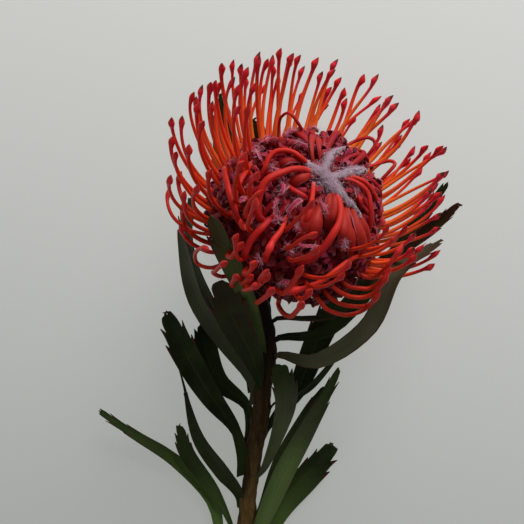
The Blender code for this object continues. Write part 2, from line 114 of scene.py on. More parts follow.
# Styles of the spiral whose places are taken by styles noted from the photograph
NOTED_INSTEAD = (10, 18, 31, 39, 57, 99)

# Closed florets and curled perianths over the dome
LOOP_COUNT = 24
LOOP_SEED = 3200
LOOP_RINGS = 26
LOOP_SHAPE = (0.85, 0.95, 1.0, 1.05, 1.1, 1.12, 1.12, 1.1, 1.05, 0.9)
CURL_COUNT = 860
CURL_SEED = 2200
CURL_TOP, CURL_FOOT = math.radians(15), math.radians(117)
CURL_SHAPE = (0.6, 0.7, 0.8, 0.95, 1.05, 1.2, 1.3, 1.15, 0.5)
# The room that they leave to the blades down to an angle from the axis and below it, and the
# lowest angle in front
CURL_ROOM, CURL_SHOULDER, CURL_LOW_ROOM = 3.2, 1.4, 0.6
CURL_LOWEST = 1.9
TUFTS_ON_RIM = 9
HAIRS_IN_TUFT = 10
HAIR_SEED = 7
DOWNY_REACH = 0.13
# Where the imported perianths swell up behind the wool: azimuth and angle, their spread, and height
SWELL_AZIMUTH, SWELL_SEAT = math.radians(185), math.radians(38)
SWELL_WIDE, SWELL_DEEP = math.radians(52), math.radians(16)
SWELL_HEIGHT = 5.5

# The woolly tuft
WOOL_RADIUS = 7.5
WOOL_HEIGHT = 5.0
WOOL_SEED = 5200
WOOL_STRANDS = 4200
CREST_RINGS = 24
STRAND_RADIUS = 0.048
STRAND_SHAPE = (0.4, 1.0, 1.0, 0.8, 0.3)

# The cup of bracts: for each row the angles of roots and tips from the head's axis, and how far
# root and tip stand off the core
FOOT_RADIUS = 4.6
FOOT_HEIGHT = -29.0
FOOT_TOP = -26.5
CUP_THICK = 1.6
CUP_STEPS = 28
BRACT_ROWS = ((171, 150, 2.4, 4.6), (158, 129, 1.6, 3.4), (146, 122, 1.0, 2.2))
BRACT_COUNT = 12
BRACT_THICK = 0.55
# Half a bract's width, as a share of the room that each has in its row
BRACT_WIDE = 0.52

# The stem, from the foot of the head to its cut end, from the middle of the head
STEM_RADIUS = 3.3
STEM_RINGS = 130
STEM_SIDES = 20
# How far down the stem from the head its painted shade reaches, as a share of its rings
HEAD_SHADE_REACH = 0.72
STEM_REST = STEM_RADIUS * math.cos(math.pi / 8)
STEM_ROUTE = [Vector(point) for point in (
    (-13.8, -20.4, 13.6), (-13.4, -25.5, 11.0), (-10.4, -36, 9.2), (-8.8, -55, 7.4),
    (-11.7, -80, 6.0), (-15.5, -106, 4.6), (-18.5, -130, STEM_REST), (-21.5, -152, STEM_REST),
    (-25.5, -178, STEM_REST))]
# Rings of the cut end: height past the last ring of the straight rod, radius, and depth when laid
CUT_END = ((0.4, 3.1, 0.15), (0.5, 2.85, 0.25), (0.6, 0.95, 0.28), (0.7, 0.8, 0.05),
           (0.8, 0.1, 0.04))

# A leaf's neck: how far out of the stem, and up along it, it is from the seat
NECK_OUT, NECK_UP = 4.5, 3.0
# Blades past this place along Y, from the middle of the head, stand near the florets
NEAR_HEAD = -45
# Faces of a blade from row to row, and from edge to edge
BLADE_PARTS, BLADE_ACROSS = 4, 10
# A blade's rows: place along its middle, place along its edge, share of its full width, and how
# much of a tooth's tip the row holds
FIVE_TEETH = (
    (0.00, 0.00, 0.18, 0), (0.12, 0.12, 0.17, 0), (0.30, 0.30, 0.38, 0), (0.48, 0.50, 0.70, 0),
    (0.58, 0.65, 0.88, 0), (0.65, 0.78, 0.97, 0.1), (0.69, 0.865, 1.05, 1),
    (0.705, 0.86, 0.97, 0.4), (0.73, 0.83, 0.86, 0), (0.77, 0.91, 0.86, 0.1),
    (0.79, 0.955, 0.90, 1), (0.80, 0.945, 0.82, 0.4), (0.83, 0.915, 0.66, 0),
    (0.87, 0.965, 0.60, 0), (0.92, 0.995, 0.46, 0.2), (0.97, 1.01, 0.25, 0.3),
    (1.00, 1.01, 0.05, 0.3))
THREE_TEETH = (
    (0.00, 0.00, 0.20, 0), (0.14, 0.14, 0.20, 0), (0.34, 0.34, 0.46, 0), (0.54, 0.56, 0.78, 0),
    (0.66, 0.73, 0.95, 0), (0.74, 0.85, 0.98, 0.2), (0.78, 0.905, 0.96, 1),
    (0.79, 0.90, 0.88, 0.4), (0.82, 0.885, 0.76, 0), (0.88, 0.95, 0.60, 0),
    (0.94, 0.99, 0.36, 0.2), (1.00, 1.00, 0.06, 0.4))


class Leaf(NamedTuple):
    """How a leaf grows, with its places counted from under the middle of the head."""
    station: float  # where it leaves the stem, along Y
    width: float
    teeth: tuple
    route: tuple  # down its middle, past the stem
    base_face: tuple  # which way its base faces, and its tip
    tip_face: tuple
    shares: tuple = (0.92, 0.92)  # of the width, at the middle and near the tip
    moved: tuple = (0, 0)  # how far the tip is moved
    bends: dict = {}  # points down its middle that are moved, counted from the tip
    clasp: tuple = (3.5, 1.0)  # how far the base runs down the stem, and how much it widens
    tint: tuple = (0.1, 0.05, 0.05)  # how red and how grey it is over its green, and how much painted light it has


LEAVES = {
    "leaf_front_wide": Leaf(
        -66, 14, FIVE_TEETH, ((-15, -51, 22), (-22, -35, 36), (-26, -21, 47)), (0, 0.2, 1),
        (0.15, -0.5, 0.9), shares=(0.92, 0.95), tint=(0.5, 0.05, 0.05)),
    "leaf_front_slim": Leaf(
        -52, 9, THREE_TEETH, ((-15, -30, 38), (-21, -14, 58), (-27, 2, 72)), (-0.3, -0.3, 0.9),
        (-0.35, -0.3, 0.9), shares=(1.0, 1.15), moved=(-0.8, 0), tint=(0.65, 0.0, 1.5)),
    "leaf_left_outer": Leaf(
        -68, 11, FIVE_TEETH, ((-27, -46, 12), (-40, -28, 20), (-44, -8, 32), (-43, 5, 42)),
        (-0.1, 0, 1), (-1, -0.2, 0.5), shares=(1.35, 0.8), moved=(2.4, -0.5),
        bends={-2: (2.4, 0), -3: (2.6, 0.4)}, clasp=(6.0, 1.8), tint=(0.4, 0.5, 0.0)),
    "leaf_left_inner": Leaf(
        -60, 11, FIVE_TEETH, ((-26, -42, 7), (-36, -23, 9), (-40, -5, 15), (-39, 11, 22)),
        (0, 0, 1), (-1, 0, 0.5), shares=(1.5, 0.75), moved=(0.2, -0.5),
        bends={-4: (-2.0, 0), -5: (-3.5, 0)}, clasp=(8.0, 2.5)),
    "leaf_left_toothed": Leaf(
        -90, 13.5, FIVE_TEETH, ((-29, -70, 12), (-40, -53, 14), (-48, -34, 17)), (0, 0, 1),
        (0, 0, 1), shares=(0.95, 0.8), moved=(-1.2, -1.6), bends={-3: (-1.8, 0), -4: (-3.2, 0)},
        clasp=(14.0, 3.0), tint=(0.1, 0.0, 0.05)),
    "leaf_left_under": Leaf(
        -80, 12, FIVE_TEETH, ((-21, -63, 4), (-29, -51, 3), (-34, -40, 6)), (0, 0, 1), (0.2, 0, 1),
        shares=(1.0, 0.8), moved=(-1.2, 0.6), bends={-2: (-5, 0), -3: (-8, -1)}, clasp=(14.0, 3.0)),
    "leaf_left_slim": Leaf(
        -114, 8.5, THREE_TEETH, ((-27, -99, 12), (-37, -83, 17), (-44, -57, 22)), (-0.4, 0, 0.9),
        (-0.6, -0.2, 0.75), shares=(2.0, 0.12), tint=(0.05, 0.1, 0.1)),
    "leaf_left_long": Leaf(
        -140, 13, FIVE_TEETH, ((-31, -115, 2.2), (-47, -99, 1.4), (-63, -87, 5), (-77, -75, 12)),
        (0, 0, 1), (0.5, 0.6, 0.5), shares=(0.8, 0.32), moved=(-0.6, -1.4),
        bends={-4: (-1, 0), -5: (-3, 0)}, tint=(0.0, 0.05, 0.95)),
    "leaf_left_short": Leaf(
        -130, 9, FIVE_TEETH, ((-28, -109, 5.6), (-37, -94, 7), (-43, -82, 10)), (0, 0, 1),
        (-0.3, 0.1, 1), shares=(0.7, 0.8), moved=(-1.0, -0.6),
        bends={-1: (-0.6, 0), -2: (-4, -0.5), -3: (-2.5, -1)}, tint=(0.0, 0.0, 0.45)),
    "leaf_right_curved": Leaf(
        -56, 10.5, FIVE_TEETH, ((12, -54, 22), (31, -39, 39), (43, -20, 46), (56, -7, 43)),
        (0.35, 0.6, 0.7), (-0.5, 0.3, 0.8), shares=(1.15, 0.55), bends={-2: (-3, 2.5), -3: (-1, 0)},
        tint=(0.6, 0.85, 0.4)),
    "leaf_right_upper": Leaf(
        -42, 11, FIVE_TEETH, ((18, -36, 13), (37, -16, 15), (56, -2, 19), (67, 8, 26)),
        (0.5, 0.7, 0.4), (-0.2, 0.2, 1), shares=(0.7, 0.42), tint=(0.7, 0.1, 0.1)),
    "leaf_right_back": Leaf(
        -50, 12, FIVE_TEETH, ((17, -42, 8), (37, -21, 6), (55, 5, 8), (66, 22, 15)), (0, 0, 1),
        (-0.2, 0, 1), shares=(0.8, 0.42), moved=(-1.5, -4.5)),
    "leaf_right_dark": Leaf(
        -84, 12, FIVE_TEETH, ((4, -68, 4), (12, -49, 2), (20, -30, 2)), (0, 0, 1), (0, 0, 1),
        tint=(0.0, 0.0, 0.0)),
    "leaf_right_edge": Leaf(
        -76, 7, THREE_TEETH, ((5, -68, 12), (14, -59, 14), (23, -47, 16)), (0.7, -0.7, 0.3),
        (0.7, -0.7, 0.3)),
    "leaf_right_lobed": Leaf(
        -102, 12, FIVE_TEETH, ((-8, -83, 14), (-3, -69, 19), (-1, -55, 24)), (0.1, 0, 1),
        (0.3, 0, 1), shares=(0.75, 0.85), moved=(-3.2, 0),
        bends={-2: (3.6, 0), -3: (5, 0), -4: (2.5, 0)}, tint=(0.1, 0.55, 0.3)),
    "leaf_right_tall": Leaf(
        -132, 11, FIVE_TEETH, ((-2, -102, 9), (9, -81, 12), (21, -58, 17)), (0, 0, 1),
        (0.5, -0.3, 0.8), shares=(1.5, 0.5), moved=(-0.6, 0), tint=(0.05, 0.35, 0.7)),
    "leaf_right_low": Leaf(
        -144, 13, FIVE_TEETH, ((-6, -120, 1.6), (7, -105, 1.2), (19, -92, 5)), (0, 0, 1),
        (0.2, -0.2, 1), shares=(1.2, 0.85), moved=(-0.8, 0.4), bends={-2: (1.5, 0), -3: (1.5, 0)},
        tint=(0.0, 0.05, 0.45)),
    "leaf_right_thin": Leaf(
        -120, 8, THREE_TEETH, ((-5, -98, 6.5), (6, -80, 6.5), (15, -66, 9)), (0.3, 0.2, 0.9),
        (0.6, 0.2, 0.6), shares=(0.8, 0.6), tint=(0.0, 0.3, 0.35)),
    "leaf_back_left": Leaf(
        -38, 11, FIVE_TEETH, ((-17, -14, 1.2), (-26, 21, 1.2), (-27, 54, 8)), (0, 0, 1),
        (0, -0.3, 1)),
    "leaf_back_middle": Leaf(
        -33, 11, FIVE_TEETH, ((-5, -5, 3.2), (-9, 21, 3.2), (-13, 44, 12)), (0, 0, 1),
        (0, -0.3, 1)),
}


# Where pale down shows on the dome, as azimuth and angle from the head's axis
DOWNY_SPOTS = (
    (37, 34), (24, 36), (16, 42), (7, 45), (40, 65), (24, 63), (7, 39), (259, 22), (5, 78),
    (90, 48), (18, 59), (8, 53), (167, 35), (82, 58), (59, 72), (56, 85), (315, 48), (346, 57),
    (338, 85), (115, 49), (132, 41), (147, 38), (160, 39), (176, 36), (200, 38), (237, 40),
    (150, 26), (195, 22))

# Closed florets that stand out in the photograph: the share of the full width, then azimuth,
# angle from the head's axis and height over the core, point by point from the wool to the seat
NOTED_LOOPS = (
    (0.88, (61, 14, 2.5), (58, 20, 6), (65, 24, 7), (67, 29, 7.5), (66, 34, 7), (60, 38, 6),
     (53, 41, 4.5), (51, 46, 2), (51, 52, -1)),
    (0.92, (33, 14, 3), (34, 21, 6), (37, 27, 7.5), (37, 33, 8), (36, 40, 8.5), (34, 45, 8.5),
     (30, 49, 8), (25, 54, 7), (20, 57, 6), (15, 57, 4), (11, 57, -1)),
    (0.9, (16, 48, -1), (14, 54, 4), (13, 60, 7), (13, 66, 8), (12, 71, 9), (10, 76, 10),
     (10, 80, 6)),
    (0.9, (76, 52, 1), (57, 52, 5), (47, 56, 7), (40, 60, 8), (34, 64, 7.5), (30, 67, 6),
     (26, 69, 4), (24, 73, -1)),
    (0.92, (323, 16, 2.5), (323, 24, 5), (323, 31, 6.5), (326, 38, 7.5), (330, 44, 8), (333, 51, 8),
     (336, 57, 7), (340, 63, 5), (342, 68, 1), (343, 71, -1)),
    (0.72, (276, 10, 3), (278, 14, 6), (277, 19, 7.5), (276, 25, 8), (282, 30, 8), (285, 36, 7),
     (286, 42, 5), (281, 50, 2), (274, 59, -1)),
    (0.66, (260, 10, 2.5), (254, 15, 5), (256, 21, 6.5), (252, 30, 6), (249, 40, 4), (240, 56, 2)),
    (0.62, (271, 13, 2), (277, 17, 4), (282, 23, 5), (285, 28, 5), (263, 38, -1)),
    (0.5, (181, 30, 3), (185, 42, 6), (191, 42, 8), (198, 42, 8), (204, 42, 6.5), (209, 40, 3)),
    (0.5, (181, 28, 3), (185, 38, 6), (191, 40, 7), (198, 38, 6.5), (204, 34, 3)),
    (0.5, (121, 52, 2), (120, 48, 9), (120, 45, 11), (114, 37, 13), (116, 35, 12), (122, 34, 9),
     (135, 40, 5), (139, 42, 0)),
    (0.52, (177, 34, 4), (182, 42, 8), (186, 42, 11.5), (190, 42, 14), (195, 42, 14.5),
     (198, 42, 13), (199, 42, 10.5), (200, 44, 4)),
    (0.52, (208, 36, 4), (211, 42, 10.5), (214, 42, 14), (218, 42, 15), (221, 42, 12),
     (226, 46, 3)),
    (0.7, (10, 19, 3), (0, 27, 5), (356, 33, 6.5), (353, 39, 7), (352, 44, 6), (349, 48, -1)),
    (0.7, (32, 33, 2), (20, 33, 4.5), (11, 32, 5), (4, 31, 4), (358, 29, -1)),
    (0.8, (5, 50, 4.5), (3, 55, 7), (3, 60, 9), (2, 64, 10.5), (1, 68, 11.5), (0, 72, 8)),
    (0.8, (68, 66, 6), (52, 62, 8), (42, 62, 9), (35, 63, 9), (30, 65, 8), (27, 68, 6)),
)

# Broad perianths among them
NOTED_PETALS = (
    (1.6, (294, 25, 2.5), (295, 29, 4), (294, 35, 5), (293, 41, 5.5), (290, 47, 5), (283, 57, 3),
     (270, 70, -1)),
    (1.9, (297, 25, 2.5), (302, 32, 5), (304, 38, 6.5), (302, 45, 7), (296, 53, 5), (281, 67, -1)),
    (1.9, (300, 25, 2.5), (310, 32, 4.5), (313, 39, 5.5), (310, 45, 6), (305, 52, 4),
     (296, 61, -1)),
    (1.5, (303, 25, 2.5), (314, 32, 4.5), (318, 39, 6.5), (318, 45, 6), (307, 54, -1)),
    (1.5, (328, 17, 3), (328, 24, 4.5), (327, 30, 5), (327, 36, 4), (321, 43, -1)),
    (1.4, (330, 18, 3), (336, 25, 4.5), (334, 31, 4.5), (332, 37, 3), (326, 42, -1)),
    (1.7, (346, 26, 3), (345, 34, 5), (344, 41, 6), (342, 47, 5), (336, 54, -1)),
    (1.6, (352, 30, 3), (352, 38, 5), (351, 44, 6), (348, 50, 4), (343, 57, -1)),
    (1.5, (28, 15, 3), (25, 22, 5), (27, 26, 5), (30, 29, 3), (33, 32, -1)),
    (1.4, (67, 16, 2.5), (60, 21, 4.5), (61, 26, 5), (60, 30, 4), (68, 35, -1)),
    (1.3, (43, 61, 2), (34, 57, 5), (27, 55, 6), (23, 58, 4), (22, 64, -1)),
    (0.9, (57, 9, 2), (77, 12, 4), (102, 16, 6), (130, 25, 6), (145, 38, 3)),
    (0.9, (79, 6, 2), (103, 9, 4), (123, 15, 6), (145, 28, 5), (152, 40, 2)),
    (1.2, (261, 17, 3), (276, 21, 4), (284, 25, 4), (268, 32, -1)),
)

# Open styles that hook up in front of the head, from the core to the knob
HOOKED_STYLES = (
    (1, (8, 45, -1), (5, 50, 4.5), (3, 55, 7), (3, 60, 9), (2, 64, 10.5), (1, 68, 12)),
    (1, (356, 93, 1), (357, 95, 4), (358, 93, 8), (357, 84, 12), (356, 76, 16), (356, 69, 20)),
    (1, (343, 109, 1), (346, 113, 4), (350, 105, 8), (351, 90, 12), (351, 82, 15), (351, 74, 19)),
    (1, (348, 96, 1), (345, 89, 5), (343, 83, 9), (344, 75, 13), (345, 67, 17), (346, 60, 20)),
    (0.85, (12, 110, 1), (19, 118, 6), (20, 104, 10), (16, 90, 14), (14, 82, 17), (12, 76, 20)),
    (0.9, (4, 112, 1), (9, 116, 6), (7, 91, 12), (6, 79, 18)),
    (1, (335, 106, 1), (333, 114, 4), (333, 105, 8), (333, 95, 11), (335, 85, 14), (337, 75, 18)),
    (0.9, (48, 78, -1), (35, 71, 3), (26, 67, 6), (18, 66, 9)),
    (0.95, (23, 82, -1), (20, 84, 4), (18, 85, 8), (14, 79, 12), (13, 72, 16), (12, 66, 19)),
    (0.95, (334, 79, 0), (337, 81, 5), (335, 82, 9), (335, 77, 13), (336, 69, 17)),
    (1, (258, 64, -1), (297, 56, 4), (313, 59, 6), (322, 64, 7.5), (327, 70, 8), (333, 75, 8),
     (338, 79, 8), (342, 83, 9)),
    (0.9, (316, 93, -1), (317, 89, 4), (311, 93, 7), (304, 94, 9.5), (293, 98, 11), (285, 96, 12.5),
     (290, 84, 13), (293, 75, 14)),
    (0.85, (311, 87, -1), (311, 86, 4), (304, 89, 7), (296, 89, 10), (286, 91, 12), (294, 78, 14),
     (295, 71, 15)),
    (0.9, (311, 79, -1), (310, 79, 4), (303, 81, 7), (297, 80, 10), (295, 75, 13), (295, 67, 15),
     (295, 61, 16)),
    (0.85, (302, 77, -1), (301, 78, 4), (295, 78, 7), (291, 76, 10), (291, 68, 13), (291, 60, 15)),
    (0.9, (288, 73, -1), (286, 76, 4), (284, 74, 8), (288, 63, 12), (286, 56, 15), (282, 51, 17)),
    (0.85, (49, 100, -1), (53, 97, 4), (59, 98, 7.5), (64, 98, 11), (71, 98, 13.5), (75, 95, 15.5),
     (76, 89, 16)),
    (0.7, (45, 104, -1), (47, 105, 3), (49, 105, 7), (52, 104, 11.5), (55, 101, 15), (59, 99, 17),
     (65, 98, 18), (71, 95, 18)),
    (0.95, (36, 112, -1), (46, 114, 4), (48, 110, 7.5), (50, 105, 10.5), (53, 101, 12),
     (52, 91, 14), (50, 83, 15)),
    (0.85, (33, 113, -1), (40, 116, 5), (46, 116, 8.5), (48, 111, 11.5), (50, 107, 13),
     (48, 97, 14)),
    (0.8, (25, 114, -1), (27, 116, 3), (29, 118, 7), (33, 118, 10), (38, 118, 11.5), (33, 100, 12),
     (28, 88, 14), (23, 83, 15)),
    (0.9, (6, 96, -1), (6, 95, 4), (4, 94, 8), (2, 85, 12), (1, 76, 16)),
)

# Rolled rims that are white with down
DOWNY_RIMS = (
    ((38, 64, 5), (36, 60, 6), (37, 57, 5)), ((22, 64, 5), (22, 61, 6), (24, 59, 5)),
    ((35, 36, 5), (26, 37, 6), (22, 41, 5)), ((21, 43, 5), (17, 47, 6), (11, 50, 5)),
    ((10, 54, 5), (9, 51, 6.5), (5, 50, 5)), ((5, 47, 5), (7, 43, 6.5), (7, 38, 6.5), (5, 34, 5)),
    ((82, 48, 4), (71, 44, 5), (66, 43, 4)), ((52, 38, 5), (48, 36, 5.5), (44, 34, 5)),
    ((105, 27, 5), (91, 21, 6), (101, 19, 5)), ((143, 42, 6), (147, 42, 7), (152, 42, 6)),
    ((279, 16, 5), (286, 20, 5.5), (285, 24, 5)), ((320, 45, 6.5), (319, 48, 7), (317, 51, 6)),
    ((6, 74, 5), (3, 75, 6), (1, 77, 5)), ((356, 59, 5), (353, 61, 6), (349, 62, 5)),
    ((347, 29, 5), (342, 32, 6), (338, 35, 5)), ((357, 48, 5), (354, 49, 5.5), (350, 49, 5)),
    ((351, 55, 5), (348, 56, 6), (343, 55, 6), (335, 53, 5)),
    ((345, 83, 5), (345, 79, 6), (342, 78, 5)),
    ((107, 36, 5), (113, 36, 6), (127, 40, 5)), ((98, 50, 4), (89, 43, 5), (103, 46, 4)),
)

# The crests of the woolly centre: azimuth, angle from the axis, height over the core, half width
WOOL_CRESTS = (
    ((64, 18, 4, 0.5), (51, 15, 4, 1.1), (30, 13, 4.5, 1.8), (7, 11, 4.5, 2.2), (340, 12, 4.5, 2.2),
     (326, 16, 4.5, 1.9), (315, 20, 4.5, 1.3), (306, 24, 4.5, 0.8), (300, 27, 5, 0.4),
     (296, 32, 5.5, 0.2), (296, 35, 5.5, 0.1)),
    ((17, 8, 4, 1.2), (38, 5, 5, 1.3), (86, 4, 6, 1.2), (144, 7, 6.5, 0.9), (168, 12, 7, 0.6),
     (180, 25, 6.5, 0.3)),
    ((326, 8, 4, 1.2), (276, 8, 4.5, 1.1), (241, 12, 5, 1.4), (229, 19, 5.5, 1.6),
     (212, 36, 5.5, 0.7)),
    ((357, 12, 4, 1.6), (336, 15, 4, 1.3), (328, 18, 3.5, 0.4)),
)


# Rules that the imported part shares

def from_head(azimuth, radius, height):
    """A place given round the head's axis. Azimuth 0 faces the front, which is up and to -Y."""
    outward = math.cos(azimuth) * HEAD_FRONT + math.sin(azimuth) * HEAD_SIDE
    return HEAD_PLACE + radius * outward + height * HEAD_AXIS


def along(points, share):
    """The place at a share of the smooth curve through points (Catmull-Rom)."""
    ends = [2 * points[0] - points[1], *points, 2 * points[-1] - points[-2]]
    count = len(points) - 1
    whole = min(int(min(max(share, 0), 1) * count), count - 1)
    t = share * count - whole
    a, b, c, d = ends[whole:whole + 4]
    return 0.5 * (2 * b + (c - a) * t + (2 * a - 5 * b + 4 * c - d) * t ** 2
                  + (3 * b - a - 3 * c + d) * t ** 3)


def evenly(points, shares):
    """Places at shares of the length of the smooth curve through points."""
    parts = 60
    fine = [along(points, part / parts) for part in range(parts + 1)]
    runs = np.concatenate(([0], np.cumsum([(b - a).length for a, b in zip(fine, fine[1:])])))
    places = np.linspace(0, 1, parts + 1)
    return [along(points, float(np.interp(share * runs[-1], runs, places))) for share in shares]


def noted(places):
    """Points over the core, from azimuths and angles in degrees and heights in millimetres."""
    return [on_core(math.radians(azimuth), math.radians(seat), lift)
            for azimuth, seat, lift, *_ in places]


def above_table(place, radius):
    """The place, lifted smoothly where a rod of this radius would sink into the table."""
    rest, ease = 0.5 * radius, 1.2
    spare = place.z - rest
    lifted = 0.5 * (spare + math.sqrt(spare ** 2 + ease ** 2)) - 0.1
    return Vector((place.x, place.y, rest + max(lifted, 0)))


def core_surface(seat):
    """Radius and height of the core's surface at an angle from the head's axis."""
    for (r0, h0), (r1, h1) in zip(CORE_OUTLINE, CORE_OUTLINE[1:]):
        first, last = math.atan2(r0, h0), math.atan2(r1, h1)
        if first <= seat <= last:
            share = (seat - first) / (last - first)
            return r0 + (r1 - r0) * share, h0 + (h1 - h0) * share
    return CORE_OUTLINE[-1]


def in_core(place):
    """Whether a place lies inside the core, 1 mm or more below its surface."""
    spot = place - HEAD_PLACE
    height = spot.dot(HEAD_AXIS)
    radius = (spot - height * HEAD_AXIS).length
    return math.hypot(radius, height) < math.hypot(*core_surface(math.atan2(radius, height))) - 1


def on_core(azimuth, seat, lift):
    """A place over the core, lifted off its surface."""
    radius, height = core_surface(seat)
    scale = 1 + lift / math.hypot(radius, height)
    return from_head(azimuth, radius * scale, height * scale)


def swell(azimuth, seat):
    """How far the perianths stand up behind the wool, where they are packed highest."""
    turn = (azimuth - SWELL_AZIMUTH + math.pi) % math.tau - math.pi
    down = seat - SWELL_SEAT
    return SWELL_HEIGHT * math.exp(-(turn / SWELL_WIDE) ** 2 - (down / SWELL_DEEP) ** 2)


def on_dome(azimuth, seat, lift):
    """A place over the core and its swelling."""
    return on_core(azimuth, seat, lift + swell(azimuth, seat))


def style_route(azimuth, seat, length, lean, twist):
    """Points down the middle of an open style, from inside the core out to its tip."""
    radius, height = STYLE_START[0] * math.sin(seat), STYLE_START[1] * math.cos(seat)
    parts = 32
    step = length / parts
    start = seat + STYLE_BOW
    outward = from_head(azimuth, 1, 0) - from_head(azimuth, 0, 0)
    sag = Vector((0, -1, 0)) + outward.y * outward
    points = [from_head(azimuth, radius, height)]
    for part in range(parts):
        share = (part + 0.5) / parts
        slope = start + (lean - start) * share ** 0.9
        radius += step * math.sin(slope)
        height += step * math.cos(slope)
        points.append(from_head(azimuth + twist * share, radius, height)
                      + STYLE_SAG * share ** 2 * sag)
    return points


def stem_at(y):
    """The stem's middle and direction at a place along Y from the middle of the head."""
    for low, high in zip(STEM_ROUTE[1:], STEM_ROUTE[2:]):
        if high.y <= y <= low.y:
            return low.lerp(high, (y - low.y) / (high.y - low.y)), (low - high).normalized()
    raise ValueError(f"no stem at {y}")


def leaf_line(leaf):
    """Points down a leaf's middle from its seat, its way out of the stem, and the stem's way."""
    middle, along_stem = stem_at(leaf.station)
    first = Vector(leaf.route[0]) - middle
    outward = (first - first.dot(along_stem) * along_stem).normalized()
    seat = middle + (STEM_RADIUS + GAP) * outward
    neck = seat + NECK_OUT * outward + NECK_UP * along_stem
    return [seat, neck, *(Vector(point) for point in leaf.route)], outward, along_stem


def leaf_spots():
    """Places down the leaves that stand near the head, with the room that florets leave them."""
    spots = []
    for leaf in LEAVES.values():
        points, *_ = leaf_line(leaf)
        for share in (0.3, 0.4, 0.5, 0.6, 0.7, 0.8, 0.9, 1.0):
            spot = along(points, share)
            if spot.y > NEAR_HEAD:
                room = 1.5 + 0.4 * leaf.width * min(1, share + 0.2)
                spots.append((spot + UNDER_HEAD, room))
    return spots


LEAF_SPOTS = leaf_spots()


def clear_of_leaves(places, spare=0.0):
    """Whether a floret's points pass the blades that stand near the head, with some to spare."""
    return all((place - spot).length > room + spare
               for place in places for spot, room in LEAF_SPOTS)


# Modelling

def choose(*pieces):
    """Selects these objects and nothing else, with the first of them active."""
    bpy.ops.object.select_all(action="DESELECT")
    for piece in pieces:
        piece.select_set(True)
    if pieces:
        bpy.context.view_layer.objects.active = pieces[0]


def copied(drawn):
    """A copy of an object, with a mesh of its own."""
    piece = drawn.copy()
    piece.data = drawn.data.copy()
    bpy.context.scene.collection.objects.link(piece)
    return piece


def rod(name, sides, rings, flat=1.0):
    """A straight closed rod up Z, with a ring of its own radius at each height, flat across Y."""
    choose()
    height, radius = rings[0]
    bpy.ops.mesh.primitive_circle_add(vertices=sides, radius=radius * MM, fill_type="NGON",
                                      location=(0, 0, height * MM))
    drawn = bpy.context.active_object
    drawn.name = name
    bpy.ops.object.transform_apply()
    bpy.ops.object.mode_set(mode="EDIT")
    bpy.ops.mesh.select_all(action="SELECT")
    for (low, before), (high, after) in zip(rings, rings[1:]):
        rise = (0, 0, (high - low) * MM)
        bpy.ops.mesh.extrude_region_move(TRANSFORM_OT_translate={"value": rise})
        bpy.ops.transform.resize(value=(after / before, after / before, 1))
    bpy.ops.mesh.select_all(action="SELECT")
    bpy.ops.transform.resize(value=(1, flat, 1), center_override=(0, 0, 0))
    bpy.ops.mesh.normals_make_consistent(inside=False)
    bpy.ops.object.mode_set(mode="OBJECT")
    return drawn


def read(mesh):
    """The mesh's vertex places in millimetres."""
    places = np.empty(len(mesh.vertices) * 3)
    mesh.vertices.foreach_get("co", places)
    return places.reshape(-1, 3) / MM


def write(mesh, places):
    """Moves the mesh's vertices to places in millimetres."""
    mesh.vertices.foreach_set("co", (np.asarray(places) * MM).ravel())
    mesh.update()


def mark(mesh, **values):
    """Stores values on the vertices, each as an attribute that materials can read."""
    for name, value in values.items():
        kept = mesh.attributes.get(name) or mesh.attributes.new(name, "FLOAT", "POINT")
        each = np.broadcast_to(value, len(mesh.vertices))
        kept.data.foreach_set("value", each.astype(np.float32))


class Blank:
    """A straight shape that is modelled once, and copied along the routes of like pieces."""

    def __init__(self, drawn):
        self.drawn = drawn
        self.spots = read(drawn.data)
        self.heights, self.ring = np.unique(self.spots[:, 2].round(3), return_inverse=True)
        reach = np.array([np.abs(self.spots[self.ring == number, 0]).max()
                          for number in range(len(self.heights))])
        self.aside = self.spots[:, 0] / np.maximum(reach[self.ring], 0.01)
        mark(drawn.data, down=self.spots[:, 2] / self.heights[-1], aside=np.abs(self.aside))

    def laid(self, places, side, widths=1.0, cup=0.0, turns=0.0, **marks):
        """A copy with its rings at places, one for each height, and its X turned to side.

        Its section can be cupped, and its sides can turn about its run on the way.
        """
        piece = copied(self.drawn)
        middles = np.array(places)
        onward = np.gradient(middles, axis=0)
        onward /= np.linalg.norm(onward, axis=1)[:, None]
        sides = []
        across = np.array(side, float)
        for way in onward:
            across = across - way * (across @ way)
            across = across / np.linalg.norm(across)
            sides.append(across)
        sides = np.array(sides)
        over = np.cross(onward, sides)
        turned = np.broadcast_to(turns, len(middles))[:, None]
        sides, over = (np.cos(turned) * sides + np.sin(turned) * over,
                       np.cos(turned) * over - np.sin(turned) * sides)
        widths = np.broadcast_to(widths, len(middles))[self.ring, None]
        lift = self.spots[:, 1] + cup * (self.aside ** 2 - 0.5)
        write(piece.data, middles[self.ring] + widths * (self.spots[:, :1] * sides[self.ring]
                                                         + lift[:, None] * over[self.ring]))
        mark(piece.data, **marks)
        return piece

    def planted(self, place, up, side, size, **marks):
        """A copy stood at a place with its Z up."""
        piece = copied(self.drawn)
        up = np.array(up) / np.linalg.norm(up)
        side = np.array(side) - up * (np.array(side) @ up)
        side /= np.linalg.norm(side)
        axes = np.array((side, np.cross(up, side), up))
        write(piece.data, np.array(place) + size * self.spots @ axes)
        mark(piece.data, **marks)
        return piece

    def scrap(self):
        """Removes the blank once its copies are made."""
        bpy.data.objects.remove(self.drawn)


def joined(name, pieces):
    """One object made of pieces."""
    choose(*pieces)
    if len(pieces) > 1:
        bpy.ops.object.join()
    whole = bpy.context.active_object
    whole.name = whole.data.name = name
    return whole


